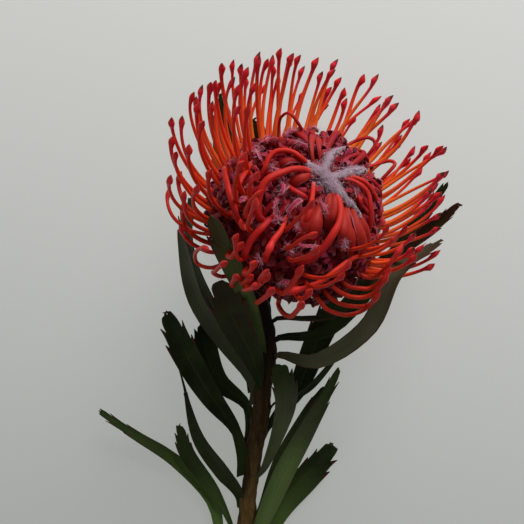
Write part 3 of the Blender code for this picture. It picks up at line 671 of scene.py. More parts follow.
def dress(name, pieces, material, slot, *nodes):
    """Joins pieces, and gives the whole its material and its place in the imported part."""
    piece = joined(name, pieces)
    piece.data.materials.clear()
    piece.data.materials.append(material)
    choose(piece)
    bpy.ops.object.shade_smooth_by_angle(angle=SMOOTH_ANGLE)
    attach(piece, BODY)
    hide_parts(*nodes)


def thicken(piece, thickness, group=""):
    """Gives a sheet its thickness, half to each side, by the weights of a group if it has one."""
    shell = piece.modifiers.new("Thickness", "SOLIDIFY")
    shell.thickness = thickness
    shell.offset = 0
    shell.vertex_group = group
    choose(piece)
    for modifier in list(piece.modifiers):
        bpy.ops.object.modifier_apply(modifier=modifier.name)


def unit(rand):
    """A random direction."""
    while True:
        way = Vector([rand.uniform(-1, 1) for _ in range(3)])
        if 0.1 < way.length < 1:
            return way.normalized()


# Materials

class Wire:
    """A socket whose operators add Math nodes."""

    def __init__(self, paint, socket):
        self.paint = paint
        self.socket = socket

    def math(self, operation, *others, first=None):
        values = (self, *others) if first is None else (first, self)
        return self.paint.node("ShaderNodeMath", {"operation": operation}, dict(enumerate(values)))

    def __add__(self, other):
        return self.math("ADD", other)

    __radd__ = __add__

    def __sub__(self, other):
        return self.math("SUBTRACT", other)

    def __rsub__(self, other):
        return self.math("SUBTRACT", first=other)

    def __mul__(self, other):
        return self.math("MULTIPLY", other)

    __rmul__ = __mul__

    def __pow__(self, other):
        return self.math("POWER", other)

    def __abs__(self):
        return self.math("ABSOLUTE")

    def rise(self, low, high):
        """0 up to low and 1 from high, with a smooth rise between them."""
        return self.paint.node("ShaderNodeMapRange", {"interpolation_type": "SMOOTHSTEP"},
                               {"Value": self, "From Min": low, "From Max": high})

    def fall(self, low, high):
        return 1 - self.rise(low, high)


class Paint:
    """A material under construction."""

    def __init__(self, name):
        self.material = bpy.data.materials.new(name)
        self.material.use_nodes = True
        self.tree = self.material.node_tree
        self.tree.nodes.clear()
        self.place = self.node("ShaderNodeTexCoord", {}, {}, "Object")

    def node(self, kind, settings, sockets, output=0):
        """A node of a kind with its settings made first, then its sockets' values or links."""
        made = self.tree.nodes.new(kind)
        for setting, value in settings.items():
            setattr(made, setting, value)
        for socket, value in sockets.items():
            if isinstance(value, Wire):
                self.tree.links.new(value.socket, made.inputs[socket])
            else:
                made.inputs[socket].default_value = value
        return Wire(self, made.outputs[output]) if made.outputs else None

    def mark(self, name):
        return self.node("ShaderNodeAttribute", {"attribute_name": name}, {}, "Fac")

    def marks(self, *names):
        """The values that the mesh holds under these names."""
        return [self.mark(name) for name in names]

    def noise(self, scale, detail=3.0, roughness=0.55, place=None):
        return self.node("ShaderNodeTexNoise", {}, {"Vector": place or self.place, "Scale": scale,
                                                    "Detail": detail, "Roughness": roughness})

    def cells(self, scale, place):
        """The distance to the nearest edge between cells."""
        return self.node("ShaderNodeTexVoronoi", {"feature": "DISTANCE_TO_EDGE"},
                         {"Vector": place, "Scale": scale})

    def stretched(self, scale):
        """The object's places, stretched along its axes."""
        return self.node("ShaderNodeMapping", {}, {"Vector": self.place, "Scale": scale})

    def flat(self, across, down):
        """A place on the surface from two marks."""
        return self.node("ShaderNodeCombineXYZ", {}, {"X": across, "Y": down})

    def mix(self, factor, below, above):
        """One colour or another, by a factor."""
        below, above = [colour if isinstance(colour, Wire) else (*colour, 1)
                        for colour in (below, above)]
        return self.node("ShaderNodeMix", {"data_type": "RGBA"}, {0: factor, 6: below, 7: above}, 2)

    def bump(self, height, strength, distance):
        return self.node("ShaderNodeBump", {}, {"Height": height, "Strength": strength,
                                                "Distance": distance * MM})

    def finish(self, colour, roughness, **sockets):
        """Ends the material in a Principled BSDF."""
        shader = self.node("ShaderNodeBsdfPrincipled", {}, {
            "Base Color": colour, "Roughness": roughness,
            **{name.replace("_", " "): value for name, value in sockets.items()}})
        self.node("ShaderNodeOutputMaterial", {}, {"Surface": shader})
        return self.material


def style_finish(florets):
    """Waxy wires: orange where they leave the head, red above, with crimson knobs."""
    paint = Paint("waxy_style")
    down, pick, behind = paint.marks("down", "pick", "behind")
    patches = paint.noise(120.0)
    # Painted shade: toward the front of the head, where behind is near 0, the shafts turn a deeper
    # red and their knobs and tips show less
    back = behind.rise(0.0, 0.5)
    # The feet are orange in their own colour, and more orange toward the back of the head as
    # painted back light
    orange_and_backlight = (1 - down) * (0.02 + behind ** 1.4)
    orange_and_backlight += (0.45 * (pick - 0.5) + 0.3 * (patches - 0.5)) * (0.3 + 0.7 * back)
    shaft = paint.mix(back, florets.style_painted_shade, florets.style_red)
    shaft = paint.mix(orange_and_backlight.rise(0.0, 0.85), shaft, florets.style_orange)
    knob = paint.mix(pick.rise(0.3, 0.9), florets.knob_crimson, florets.knob_pink)
    upper = (down + 0.06 * (patches - 0.5)).rise(0.72, 0.89)
    colour = paint.mix(upper * (0.4 + 0.6 * back), shaft, knob)
    tip = (down + 0.02 * pick).rise(0.972, 1.0)
    colour = paint.mix(tip * (0.4 + 0.6 * pick) * (0.2 + 0.8 * back), colour, florets.knob_tip)
    grain = paint.noise(900.0)
    return paint.finish(colour, 0.36 + 0.16 * grain, Subsurface_Weight=0.08, Subsurface_Scale=0.001,
                        Subsurface_Radius=(1.0, 0.25, 0.1), Specular_IOR_Level=0.12,
                        Normal=paint.bump(grain, 0.25, 0.15))


def loop_finish(florets):
    """Thick, smooth closed florets: glossy scarlet with a crimson flush."""
    paint = Paint("waxy_loop")
    down, pick = paint.marks("down", "pick")
    patches = paint.noise(90.0)
    flush = (0.7 * patches + 0.5 * pick + 0.25 * down).rise(0.35, 0.95)
    colour = paint.mix(flush, florets.loop_scarlet, florets.loop_crimson)
    ends = down.fall(0.0, 0.14) * patches.rise(0.3, 0.6)
    colour = paint.mix(ends * 0.6, colour, florets.perianth_pink)
    streaks = paint.noise(1400.0, place=paint.stretched((1, 1, 0.2)))
    return paint.finish(colour, 0.42 + 0.2 * patches, Subsurface_Weight=0.08,
                        Subsurface_Scale=0.001, Subsurface_Radius=(1.0, 0.2, 0.1),
                        Specular_IOR_Level=0.14,
                        Normal=paint.bump(streaks + patches, 0.3, 0.2))


def petal_finish(florets):
    """Broad perianths: dull dark red, streaked lengthwise, with a fine downy edge."""
    paint = Paint("broad_perianth")
    down, pick, aside = paint.marks("down", "pick", "aside")
    felt, patches = paint.noise(2200.0, 4.0, 0.7), paint.noise(130.0)
    flush = (patches + 0.5 * (down - 0.6)).rise(0.3, 0.75)
    colour = paint.mix(flush, florets.petal_red, florets.loop_crimson)
    bright = (pick + patches - 0.5).rise(0.6, 1.3)
    colour = paint.mix(bright * 0.7, colour, florets.perianth_crimson)
    streaks = paint.noise(1.0, place=paint.flat(aside * 9.0, down * 2.0 + pick * 20.0))
    colour = paint.mix(streaks.rise(0.5, 0.8) * 0.12, colour, florets.loop_scarlet)
    rim = (aside + 0.3 * (felt - 0.5) + 0.3 * (patches - 0.5)).rise(0.9, 1.02)
    colour = paint.mix(rim * down.fall(0.5, 0.9) * 0.5, colour, florets.perianth_pink)
    return paint.finish(colour, 0.6, Specular_IOR_Level=0.2,
                        Normal=paint.bump(felt * 0.4 + streaks * 0.4, 0.4, 0.3))


def perianth_finish(florets):
    """Felted crimson perianths, with pale frayed rims and painted shade low on the front."""
    paint = Paint("felted_perianth")
    down, pick, aside = paint.marks("down", "pick", "aside")
    white, shade = paint.marks("downy", "shade")
    felt, patches = paint.noise(2600.0, 4.0, 0.7), paint.noise(150.0)
    # Painted shade: the shade mark grows low on the front of the dome, takes away the magenta and
    # pale rims, and turns the perianths red, then near black
    shade = shade.rise(0.1, 1.2)
    colour = paint.mix(patches.rise(0.3, 0.65), florets.perianth_dark_and_shade, florets.perianth_crimson)
    bright = (pick + 0.3 * felt).rise(0.7, 1.1) * (0.8 - 0.6 * shade)
    colour = paint.mix(bright, colour, florets.perianth_magenta)
    rim = (aside + 0.5 * (felt - 0.5) + 0.25 * (down - 0.6)).rise(0.72, 1.05)
    tip = (down + 0.4 * (felt - 0.5)).rise(0.86, 1.02)
    pale = 0.9 * white + (0.5 * (patches - 0.5) + 0.35 * (pick - 0.45)) * (1 - shade)
    colour = paint.mix(((rim + tip) * pale).rise(0.0, 0.9) * 0.85, colour, florets.perianth_pink)
    # Painted shade, where the perianths are not downy
    sunk = shade * (1 - white)
    colour = paint.mix(sunk * 0.4, colour, florets.petal_red)
    colour = paint.mix(sunk * 0.8, colour, florets.perianth_dark_and_shade)
    return paint.finish(colour, 0.7, Specular_IOR_Level=0.2, Sheen_Weight=0.18, Sheen_Roughness=0.5,
                        Sheen_Tint=(1.0, 0.7, 0.8, 1.0), Normal=paint.bump(felt, 0.6, 0.3))


def hair_finish(name, root, tip):
    """Fine hairs, darker at the root than at the tip."""
    paint = Paint(name)
    colour = paint.mix(paint.mark("down").rise(0.1, 0.7), root, tip)
    return paint.finish(colour, 0.6)


def wool_finish(florets):
    """Matted wool: pale, with painted shade in patches."""
    paint = Paint("wool")
    clumps, strands = paint.noise(260.0), paint.noise(2200.0, 4.0, 0.7)
    light = (0.5 * clumps + 0.5 * strands).rise(0.35, 0.68)
    colour = paint.mix(light, florets.wool_shade, florets.wool_pale)
    return paint.finish(colour, 0.85, Sheen_Weight=0.6,
                        Normal=paint.bump(strands + clumps, 0.8, 0.5))


def core_finish(florets):
    """The lumpy ground between the florets, dark as painted shade in their crevices."""
    paint = Paint("receptacle")
    lumps = paint.noise(320.0)
    colour = paint.mix(lumps.rise(0.35, 0.7), florets.perianth_dark_and_shade, florets.perianth_crimson)
    return paint.finish(colour, 0.8, Specular_IOR_Level=0.1, Normal=paint.bump(lumps, 0.8, 1.0))


def bract_finish(stalk):
    """Dry bracts: brown at the foot and redder at the point, with pale hairs."""
    paint = Paint("dry_bract")
    down = paint.mark("down")
    streaks = paint.noise(700.0, 4.0, 0.6)
    point = (down + 0.5 * (streaks - 0.5)).rise(0.15, 0.95)
    colour = paint.mix(point, stalk.bract_brown, stalk.bract_red)
    colour = paint.mix(streaks.rise(0.55, 0.8) * 0.4, colour, stalk.bract_pale)
    return paint.finish(colour, 0.65 + 0.2 * streaks, Normal=paint.bump(streaks, 0.5, 0.25))


def bark_finish(stalk):
    """Dull olive-brown bark with lengthwise cracks, and pale wood at the cut end."""
    paint = Paint("bark")
    cut, head_shade = paint.marks("cut", "head_shade")
    fibres = paint.noise(420.0, 5.0, 0.65, paint.stretched((1, 0.16, 1)))
    patches = paint.noise(70.0)
    cracks = paint.cells(380.0, paint.stretched((1, 0.22, 1))).rise(0.0, 0.12)
    light = (0.6 * fibres + 0.5 * patches).rise(0.35, 0.75)
    bark = paint.mix(light, stalk.bark_dark, stalk.bark_olive)
    # Painted shade: near the head the bark goes near black
    bark = paint.mix((head_shade + 0.3 * (patches - 0.5)).rise(0.0, 0.7), bark, stalk.bark_painted_shade)
    bark = paint.mix((1 - cracks) * 0.35, bark, stalk.bark_dark)
    wood = paint.mix(paint.noise(900.0).rise(0.4, 0.65), stalk.wood_pale, stalk.wood_brown)
    colour = paint.mix(cut, bark, wood)
    return paint.finish(colour, 0.6 + 0.25 * fibres, Specular_IOR_Level=0.12,
                        Normal=paint.bump(fibres + 0.6 * cracks, 0.6, 0.35))


def leaf_finish(foliage):
    """Leathery blades: green with a paler nerve, flushed or grey in places, with dark red teeth."""
    paint = Paint("leathery_leaf")
    across, down, teeth = paint.marks("across", "down", "teeth")
    red, grey, light = paint.marks("red", "grey", "light")
    aside = abs(across)
    patches = paint.noise(60.0, 4.0)
    clouds = paint.noise(25.0, 2.0)
    pores = paint.noise(1500.0)
    nerve = aside.fall(0.02, 0.10) * down.fall(0.7, 1.0)
    sides = sum(abs(aside - place).fall(0.0, 0.05) for place in (0.36, 0.68)) * 0.4
    net = paint.cells(1.0, paint.flat(across * 4.5, down * 22.0)).fall(0.0, 0.10)
    veins = nerve + sides * down.fall(0.5, 0.95) + 0.3 * net
    green = paint.mix(patches.rise(0.35, 0.7), foliage.leaf_green, foliage.leaf_deep)
    # Painted light: lighter green in cloudy patches by the light mark, most on the lower half of a
    # blade, less at its edges and its very base
    lit = (light * 1.2 + 0.9 * (clouds - 0.5)).rise(0.05, 1.0)
    reach = (down.fall(0.45, 0.8) + (light - 1).rise(0.0, 0.5)).rise(0.0, 1.0)
    lit = lit * (1 - 0.35 * aside) * (0.15 + 0.85 * reach) * (0.45 + 0.55 * down.rise(0.1, 0.35))
    green = paint.mix(lit, green, foliage.leaf_painted_light)
    green = paint.mix(veins.rise(0.1, 1.3) * 0.4, green, foliage.leaf_vein)
    flush = (red * (0.2 + 1.2 * down) + 0.5 * (patches - 0.5)).rise(0.2, 1.0)
    colour = paint.mix(flush * 0.8, green, foliage.leaf_flush)
    bloom = (grey * (0.8 + 0.8 * (clouds - 0.5))).rise(0.0, 0.9)
    colour = paint.mix(bloom * down.fall(0.72, 0.95) * 0.8, colour, foliage.leaf_bloom)
    rim = (aside + 0.5 * (patches - 0.5) + 0.12 * red).rise(0.93, 1.08) * (0.25 + 0.75 * red)
    teeth = (teeth + 0.4 * (patches - 0.5)).rise(0.2, 0.8)
    colour = paint.mix((rim + teeth).rise(0.0, 1.0) * 0.85, colour, foliage.leaf_margin)
    return paint.finish(colour, 0.45 + 0.2 * patches, Specular_IOR_Level=0.12,
                        Normal=paint.bump(veins * 0.8 + pores * 0.25, 0.4, 0.4))


def floor_finish(stage):
    """Pale grey paper with a glow of its own, so that shadows on it stay faint."""
    paint = Paint("pale_floor")
    across = paint.node("ShaderNodeSeparateXYZ", {}, {"Vector": paint.place})
    along_y = Wire(paint, across.socket.node.outputs["Y"])
    # Painted light: the glow is brighter to the upper right and dimmer to the lower left
    light = (0.23 * across + along_y).rise(-0.215, 0.304)
    glow = paint.mix(light, stage.floor_dim, stage.floor_bright)
    return paint.finish((*stage.floor_colour, 1), 0.9, Emission_Color=glow,
                        Emission_Strength=stage.floor_glow)


# Settings

def colour_of(name, default, description):
    return FloatVectorProperty(name=name, description=description, default=default, size=3,
                               min=0.0, max=1.0, subtype="COLOR")


def length_of(name, default, description):
    return FloatProperty(name=name, description=description, default=default, min=0.0,
                         precision=5, unit="LENGTH")


def strength_of(name, default, description):
    return FloatProperty(name=name, description=description, default=default, min=0.0)


class ProteaFlorets(bpy.types.PropertyGroup):
    """Sizes and colours of the head"""
    style_root: length_of("Style root", 0.00100, "Half width of an open style at the head")
    style_neck: length_of("Style neck", 0.00062, "Half width of an open style under its knob")
    knob_radius: length_of("Knob radius", 0.00120, "Radius of the knob that ends an open style")
    loop_radius: length_of("Loop radius", 0.00130, "Half width of a closed floret")
    curl_width: length_of("Curl width", 0.00120, "Half width of a curled perianth")
    hair_length: length_of("Hair length", 0.0019, "Length of the hairs on the perianths")
    hair_radius: length_of("Hair radius", 0.00004, "Radius of the hairs on the perianths")
    style_red: colour_of("Style red", (0.80, 0.050, 0.016), "Colour of the styles' upper part")
    # Painted shade: the deeper red of the styles in front of the head
    style_painted_shade: colour_of("Style deep red", (0.54, 0.026, 0.010), "Colour of the styles in front")
    style_orange: colour_of("Style orange", (0.82, 0.165, 0.024), "Colour of the styles' foot")
    knob_crimson: colour_of("Knob crimson", (0.64, 0.020, 0.028), "Colour of a knob")
    knob_pink: colour_of("Knob pink", (0.76, 0.036, 0.060), "Colour of the brightest knobs")
    knob_tip: colour_of("Knob tip", (0.09, 0.030, 0.014), "Olive-brown of the knobs' points")
    loop_scarlet: colour_of("Loop scarlet", (0.52, 0.018, 0.009), "Colour of a closed floret")
    petal_red: colour_of("Petal red", (0.330, 0.013, 0.007), "Colour of the broad perianths")
    loop_crimson: colour_of("Loop crimson", (0.27, 0.006, 0.010), "Flush on the closed florets")
    perianth_crimson: colour_of("Perianth crimson", (0.36, 0.011, 0.022), "Colour of the perianths")
    perianth_magenta: colour_of("Perianth magenta", (0.42, 0.020, 0.070), "Brighter perianths")
    # Dark patches of the perianths, and the painted shade on them and on the ground beneath them
    perianth_dark_and_shade: colour_of("Perianth dark", (0.085, 0.002, 0.006), "Depth of the perianths")
    perianth_pink: colour_of("Perianth pink", (0.52, 0.205, 0.265), "Felt on the perianths")
    hair_pale: colour_of("Down", (0.62, 0.420, 0.520), "Colour of the down's tips")
    wool_pale: colour_of("Wool", (0.60, 0.480, 0.560), "Colour of the wool")
    # Painted shade deep in the wool, and at the roots of its strands
    wool_shade: colour_of("Wool shade", (0.34, 0.150, 0.200), "Colour deep in the wool")


class ProteaStalk(bpy.types.PropertyGroup):
    """Sizes and colours of the stem and the bracts"""
    swelling: length_of("Swelling", 0.0011, "How far the stem swells under a leaf")
    bark_olive: colour_of("Bark olive", (0.170, 0.098, 0.026), "Colour of the bark")
    bark_dark: colour_of("Bark dark", (0.030, 0.018, 0.008), "Cracks in the bark")
    # Painted shade on the bark under the head, near black
    bark_painted_shade: colour_of("Bark red", (0.008, 0.006, 0.003), "Young bark near the head")
    wood_pale: colour_of("Cut wood", (0.55, 0.46, 0.28), "Colour of the cut end")
    wood_brown: colour_of("Cut wood dark", (0.36, 0.27, 0.13), "Rings of the cut end")
    bract_brown: colour_of("Bract brown", (0.10, 0.045, 0.020), "Foot of a bract")
    bract_red: colour_of("Bract red", (0.20, 0.030, 0.025), "Point of a bract")
    bract_pale: colour_of("Bract hair", (0.42, 0.30, 0.22), "Down on the bracts")


class ProteaFoliage(bpy.types.PropertyGroup):
    """Sizes and colours of the leaves"""
    thickness: length_of("Thickness", 0.00070, "Thickness of a blade at its middle")
    leaf_green: colour_of("Green", (0.022, 0.036, 0.007), "Colour of a blade")
    leaf_deep: colour_of("Deep green", (0.008, 0.014, 0.003), "Darker patches of a blade")
    # Painted light on the blades
    leaf_painted_light: colour_of("Light green", (0.105, 0.175, 0.038), "Colour of a lighter blade")
    leaf_vein: colour_of("Nerve", (0.055, 0.075, 0.018), "Colour of the nerves")
    leaf_flush: colour_of("Flush", (0.040, 0.020, 0.008), "Red-brown flush of a blade")
    leaf_bloom: colour_of("Bloom", (0.120, 0.115, 0.070), "Grey bloom of a blade")
    leaf_margin: colour_of("Margin", (0.085, 0.012, 0.010), "Red margin and teeth")


class ProteaStage(bpy.types.PropertyGroup):
    """Camera, floor and light"""
    camera_height: length_of("Camera height", 0.366, "Height of the camera over the table")
    lens: FloatProperty(name="Lens", description="Focal length of the camera", default=58.74,
                        min=10, unit="CAMERA")
    floor_colour: colour_of("Floor", (0.16, 0.16, 0.155), "Colour of the floor")
    floor_bright: colour_of("Bright floor", (0.56, 0.565, 0.54), "Glow of the floor's bright side")
    floor_dim: colour_of("Dim floor", (0.26, 0.27, 0.255), "Glow of the floor's dim side")
    floor_glow: strength_of("Floor glow", 0.93, "Strength of the floor's glow")
    key_power: strength_of("Key light", 13.0, "Power of the main light")
    fill_power: strength_of("Fill light", 0.8, "Power of the second light")
    sky: strength_of("Sky", 0.22, "Strength of the light from all round")


# Pieces

class PROTEA_OT_stem(bpy.types.Operator):
    """Model the woody stem with its swellings and cut end"""
    bl_idname = "protea.stem"
    bl_label = "Stem"

    def execute(self, context):
        stalk = context.scene.protea_stalk
        last = STEM_RINGS - 1
        rings = [(number, STEM_RADIUS) for number in range(STEM_RINGS)]
        rings += [(last + rise, radius) for rise, radius, _ in CUT_END]
        blank = Blank(rod("stem_blank", STEM_SIDES, rings))
        route = [UNDER_HEAD + point for point in STEM_ROUTE]
        places = [along(route, number / last) for number in range(STEM_RINGS)]
        onward = (places[-1] - places[-2]).normalized()
        places += [places[-1] + depth * onward for _, _, depth in CUT_END]
        stem = blank.laid(places, (1, 0, 0))
        spots = read(stem.data)
        outward = spots - np.array(places)[blank.ring]
        outward /= np.maximum(np.linalg.norm(outward, axis=1)[:, None], 0.001)
        grow = 0.12 * np.sin(spots[:, 1] * 0.9 + 2 * spots[:, 0])
        for leaf in LEAVES.values():
            seat = np.array(leaf_line(leaf)[0][0] + UNDER_HEAD)
            away = (spots - seat) * (1, 0.62, 1)
            grow += stalk.swelling / MM * np.exp(-(away ** 2).sum(1) / 6.0)
        grow[blank.ring >= STEM_RINGS] = 0
        spots += outward * grow[:, None]
        spots[:, 2] = np.maximum(spots[:, 2], 0.0)
        write(stem.data, spots)
        # Marks the cut end, and the painted shade that fades down the stem from the head
        mark(stem.data, cut=(blank.ring > STEM_RINGS).astype(float),
             head_shade=1 - np.clip(blank.ring / (HEAD_SHADE_REACH * STEM_RINGS), 0, 1))
        blank.scrap()
        dress("woody_stem", [stem], bark_finish(stalk), "stem", "stem")
        return {"FINISHED"}


class PROTEA_OT_bracts(bpy.types.Operator):
    """Model the cup of overlapping pointed bracts under the head"""
    bl_idname = "protea.bracts"
    bl_label = "Bract cup"

    def execute(self, context):
        stalk = context.scene.protea_stalk
        inner, outer = [], []
        for radius, height in reversed(CORE_OUTLINE[-3:]):
            reach = math.hypot(radius, height)
            for side, off in ((inner, 1.4 * GAP), (outer, 1.4 * GAP + CUP_THICK)):
                side.append((radius * (1 + off / reach), height * (1 + off / reach)))
        outline = [*inner, *reversed(outer[1:]), (FOOT_RADIUS, FOOT_TOP),
                   (FOOT_RADIUS * 0.92, FOOT_HEIGHT), (0, FOOT_HEIGHT)]
        pieces = [self.cup(outline)]
        choose()
        bpy.ops.mesh.primitive_grid_add(x_subdivisions=6, y_subdivisions=8, size=2)
        shield = context.active_object
        for row, shape in enumerate(BRACT_ROWS):
            pieces += [self.bract(shield, math.tau * (number + 0.5 * row) / BRACT_COUNT, *shape)
                       for number in range(BRACT_COUNT)]
        bpy.data.objects.remove(shield)
        dress("bract_cup", pieces, bract_finish(stalk), "bracts", "involucre")
        return {"FINISHED"}

    def cup(self, outline):
        """The cup under the bracts, its outline spun round the head's axis."""
        choose()
        bpy.ops.mesh.primitive_circle_add(vertices=len(outline), radius=MM, fill_type="NOTHING")
        cup = bpy.context.active_object
        for vertex, (radius, height) in zip(cup.data.vertices, outline):
            vertex.co = (radius * MM, 0, height * MM)
        bpy.ops.object.mode_set(mode="EDIT")
        bpy.ops.mesh.select_all(action="SELECT")
        bpy.ops.mesh.spin(steps=CUP_STEPS, angle=math.tau, center=(0, 0, 0), axis=(0, 0, 1))
        bpy.ops.mesh.select_all(action="SELECT")
        bpy.ops.mesh.remove_doubles(threshold=0.00002)
        bpy.ops.mesh.normals_make_consistent(inside=False)
        bpy.ops.object.mode_set(mode="OBJECT")
        write(cup.data, [from_head(math.atan2(y, x), math.hypot(x, y), z)
                         for x, y, z in read(cup.data).tolist()])
        mark(cup.data, down=0.0)
        return cup

    def bract(self, shield, azimuth, root, tip, off_root, off_tip):
        """A pointed bract from its root to its tip, lifted off the core."""
        piece = copied(shield)
        width = math.tau / BRACT_COUNT * BRACT_WIDE
        places, down = [], []
        for vertex in shield.data.vertices:
            side, share = vertex.co.x, (vertex.co.y + 1) / 2
            radius, height = core_surface(math.radians(root + (tip - root) * share))
            off = off_root + (off_tip - off_root) * share ** 2 - 0.5 * side ** 2
            scale = 1 + off / math.hypot(radius, height)
            half = width * (1 - share ** 2.4) ** 0.8 + 0.01
            places.append(from_head(azimuth + side * half, radius * scale, height * scale))
            down.append(share)
        write(piece.data, places)
        mark(piece.data, down=down)
        thicken(piece, BRACT_THICK * MM)
        return piece


class PROTEA_OT_dome(bpy.types.Operator):
    """Model the receptacle and the curled, felted perianths that cover it"""
    bl_idname = "protea.dome"
    bl_label = "Dome of perianths"

    def execute(self, context):
        florets = context.scene.protea_florets
        dress("receptacle", [self.core()], core_finish(florets), "florets", "flower_head")
        width = florets.curl_width / MM
        rings = [(number, width * share) for number, share in enumerate(CURL_SHAPE)]
        blank = Blank(rod("curl_blank", 6, rings, flat=0.2))
        pieces, tips = [], []
        for number in range(CURL_COUNT):
            self.curl(blank, number, pieces, tips)
        rand = random.Random(CURL_SEED - 1)
        for points in map(noted, DOWNY_RIMS):
            places = evenly(points, np.linspace(0, 1, len(blank.heights)))
            pieces.append(blank.laid(places, unit(rand), 0.75, 0.8, pick=0.9, downy=1.0, shade=0.0))
            for place in evenly(points, [rand.random() for _ in range(TUFTS_ON_RIM)]):
                tips.append((place + 0.5 * unit(rand),
                             (place - HEAD_PLACE).normalized() + 0.6 * unit(rand)))
        blank.scrap()
        dress("curled_perianths", pieces, perianth_finish(florets), "florets", "flower_head")
        tuft = Blank(self.tuft(florets))
        rand = random.Random(CURL_SEED)
        hairs = [tuft.planted(place, up + 0.5 * unit(rand), unit(rand), rand.uniform(0.6, 1.3))
                 for place, up in tips]
        tuft.scrap()
        finish = hair_finish("perianth_down", florets.perianth_pink, florets.hair_pale)
        dress("perianth_hairs", hairs, finish, "florets", "flower_head")
        return {"FINISHED"}

    def core(self):
        """The receptacle, a ball drawn to the core's outline with low lumps."""
        choose()
        bpy.ops.mesh.primitive_uv_sphere_add(segments=64, ring_count=48, radius=1)
        core = bpy.context.active_object
        places = []
        for vertex in core.data.vertices:
            x, y, z = vertex.co
            seat, azimuth = math.atan2(math.hypot(x, y), z), math.atan2(y, x)
            lump = 0.5 * math.sin(9 * azimuth + 14 * seat) * math.sin(11 * seat) * math.sin(seat)
            places.append(on_core(azimuth, seat, lump - 0.4 + 0.8 * swell(azimuth, seat)))
        write(core.data, places)
        return core

    def curl(self, blank, number, pieces, tips):
        """A perianth limb that leaves the core, turns over and rolls up."""
        rand = random.Random(CURL_SEED + number)
        top, foot = math.cos(CURL_TOP), math.cos(CURL_FOOT)
        seat = math.acos(top + (number + 0.5) / CURL_COUNT * (foot - top))
        azimuth = number * GOLDEN_ANGLE + rand.uniform(-0.1, 0.1)
        base = on_dome(azimuth, seat, -1.0)
        outward = (on_core(azimuth, seat, 1.0) - on_core(azimuth, seat, 0.0)).normalized()
        front = math.cos(azimuth)
        spare = CURL_ROOM if seat < CURL_SHOULDER else CURL_LOW_ROOM
        lowest = CURL_LOWEST + 0.1 * (1 - front)
        if seat > lowest or not clear_of_leaves([base + 3.5 * outward], spare):
            return
        way = unit(rand)
        way = (way - way.dot(outward) * outward).normalized()
        way = (way - 0.5 * (HEAD_AXIS - HEAD_AXIS.dot(outward) * outward)).normalized()
        size = rand.uniform(0.9, 1.9)
        stand = rand.uniform(0.8, 4.4 - 1.6 * max(0, front) * (seat > 0.6))
        turns = rand.uniform(0.4, 1.0) * math.tau
        rings = len(blank.heights)
        side = outward.cross(way)
        places = [base, base + 0.5 * stand * outward]
        lean = rand.uniform(-0.8, 0.8) * side
        for part in range(rings - 2):
            share = part / (rings - 3)
            angle = turns * share
            reach = size * (1 - 0.5 * share)
            centre = base + stand * outward + size * way + lean * share
            places.append(centre + reach * (math.sin(angle) * outward - math.cos(angle) * way))
        wide = rand.uniform(0.8, 1.5)
        widths = [wide * rand.uniform(0.75, 1.25) for _ in range(rings)]
        turned = np.cumsum([rand.uniform(-0.3, 0.3) for _ in range(rings)])
        down = downy(azimuth, seat)
        # The shade mark is painted shade, rising down the front of the dome
        pieces.append(blank.laid(places, side, widths, rand.uniform(-1.2, 1.2), turned,
                                 pick=rand.random(), downy=down,
                                 shade=max(0, seat - 0.7) * max(0, 0.6 + front)))
        for place in places[4::2]:
            if rand.random() < (0.07 + 0.6 * down) * (1 - 0.6 * max(0, front)):
                tips.append((place, outward + 0.8 * (place - centre).normalized()))

    def tuft(self, florets):
        """A few fine hairs from one root."""
        rand = random.Random(HAIR_SEED)
        length, radius = florets.hair_length / MM, florets.hair_radius / MM
        rings = ((0, radius), (length * 0.5, radius * 0.8), (length, radius * 0.15))
        hair = Blank(rod("hair_blank", 3, rings))
        hairs = []
        for _ in range(HAIRS_IN_TUFT):
            way = (UP + 1.3 * unit(rand)).normalized()
            bend = 0.5 * length * unit(rand)
            foot = 0.5 * Vector((rand.uniform(-1, 1), rand.uniform(-1, 1), 0))
            places = [foot, foot + 0.5 * length * way, foot + length * way + bend]
            hairs.append(hair.laid(places, way.orthogonal()))
        hair.scrap()
        return joined("tuft_blank", hairs)


def direction(azimuth, seat):
    """A direction from the head's middle, in the head's own axes."""
    return Vector((math.sin(seat) * math.cos(azimuth), math.sin(seat) * math.sin(azimuth),
                   math.cos(seat)))


def downy(azimuth, seat):
    """How downy the dome is at a place, from 0 to 1."""
    here = direction(azimuth, seat)
    away = min((here - direction(math.radians(turn), math.radians(angle))).length
               for turn, angle in DOWNY_SPOTS)
    return math.exp(-(away / DOWNY_REACH) ** 2)


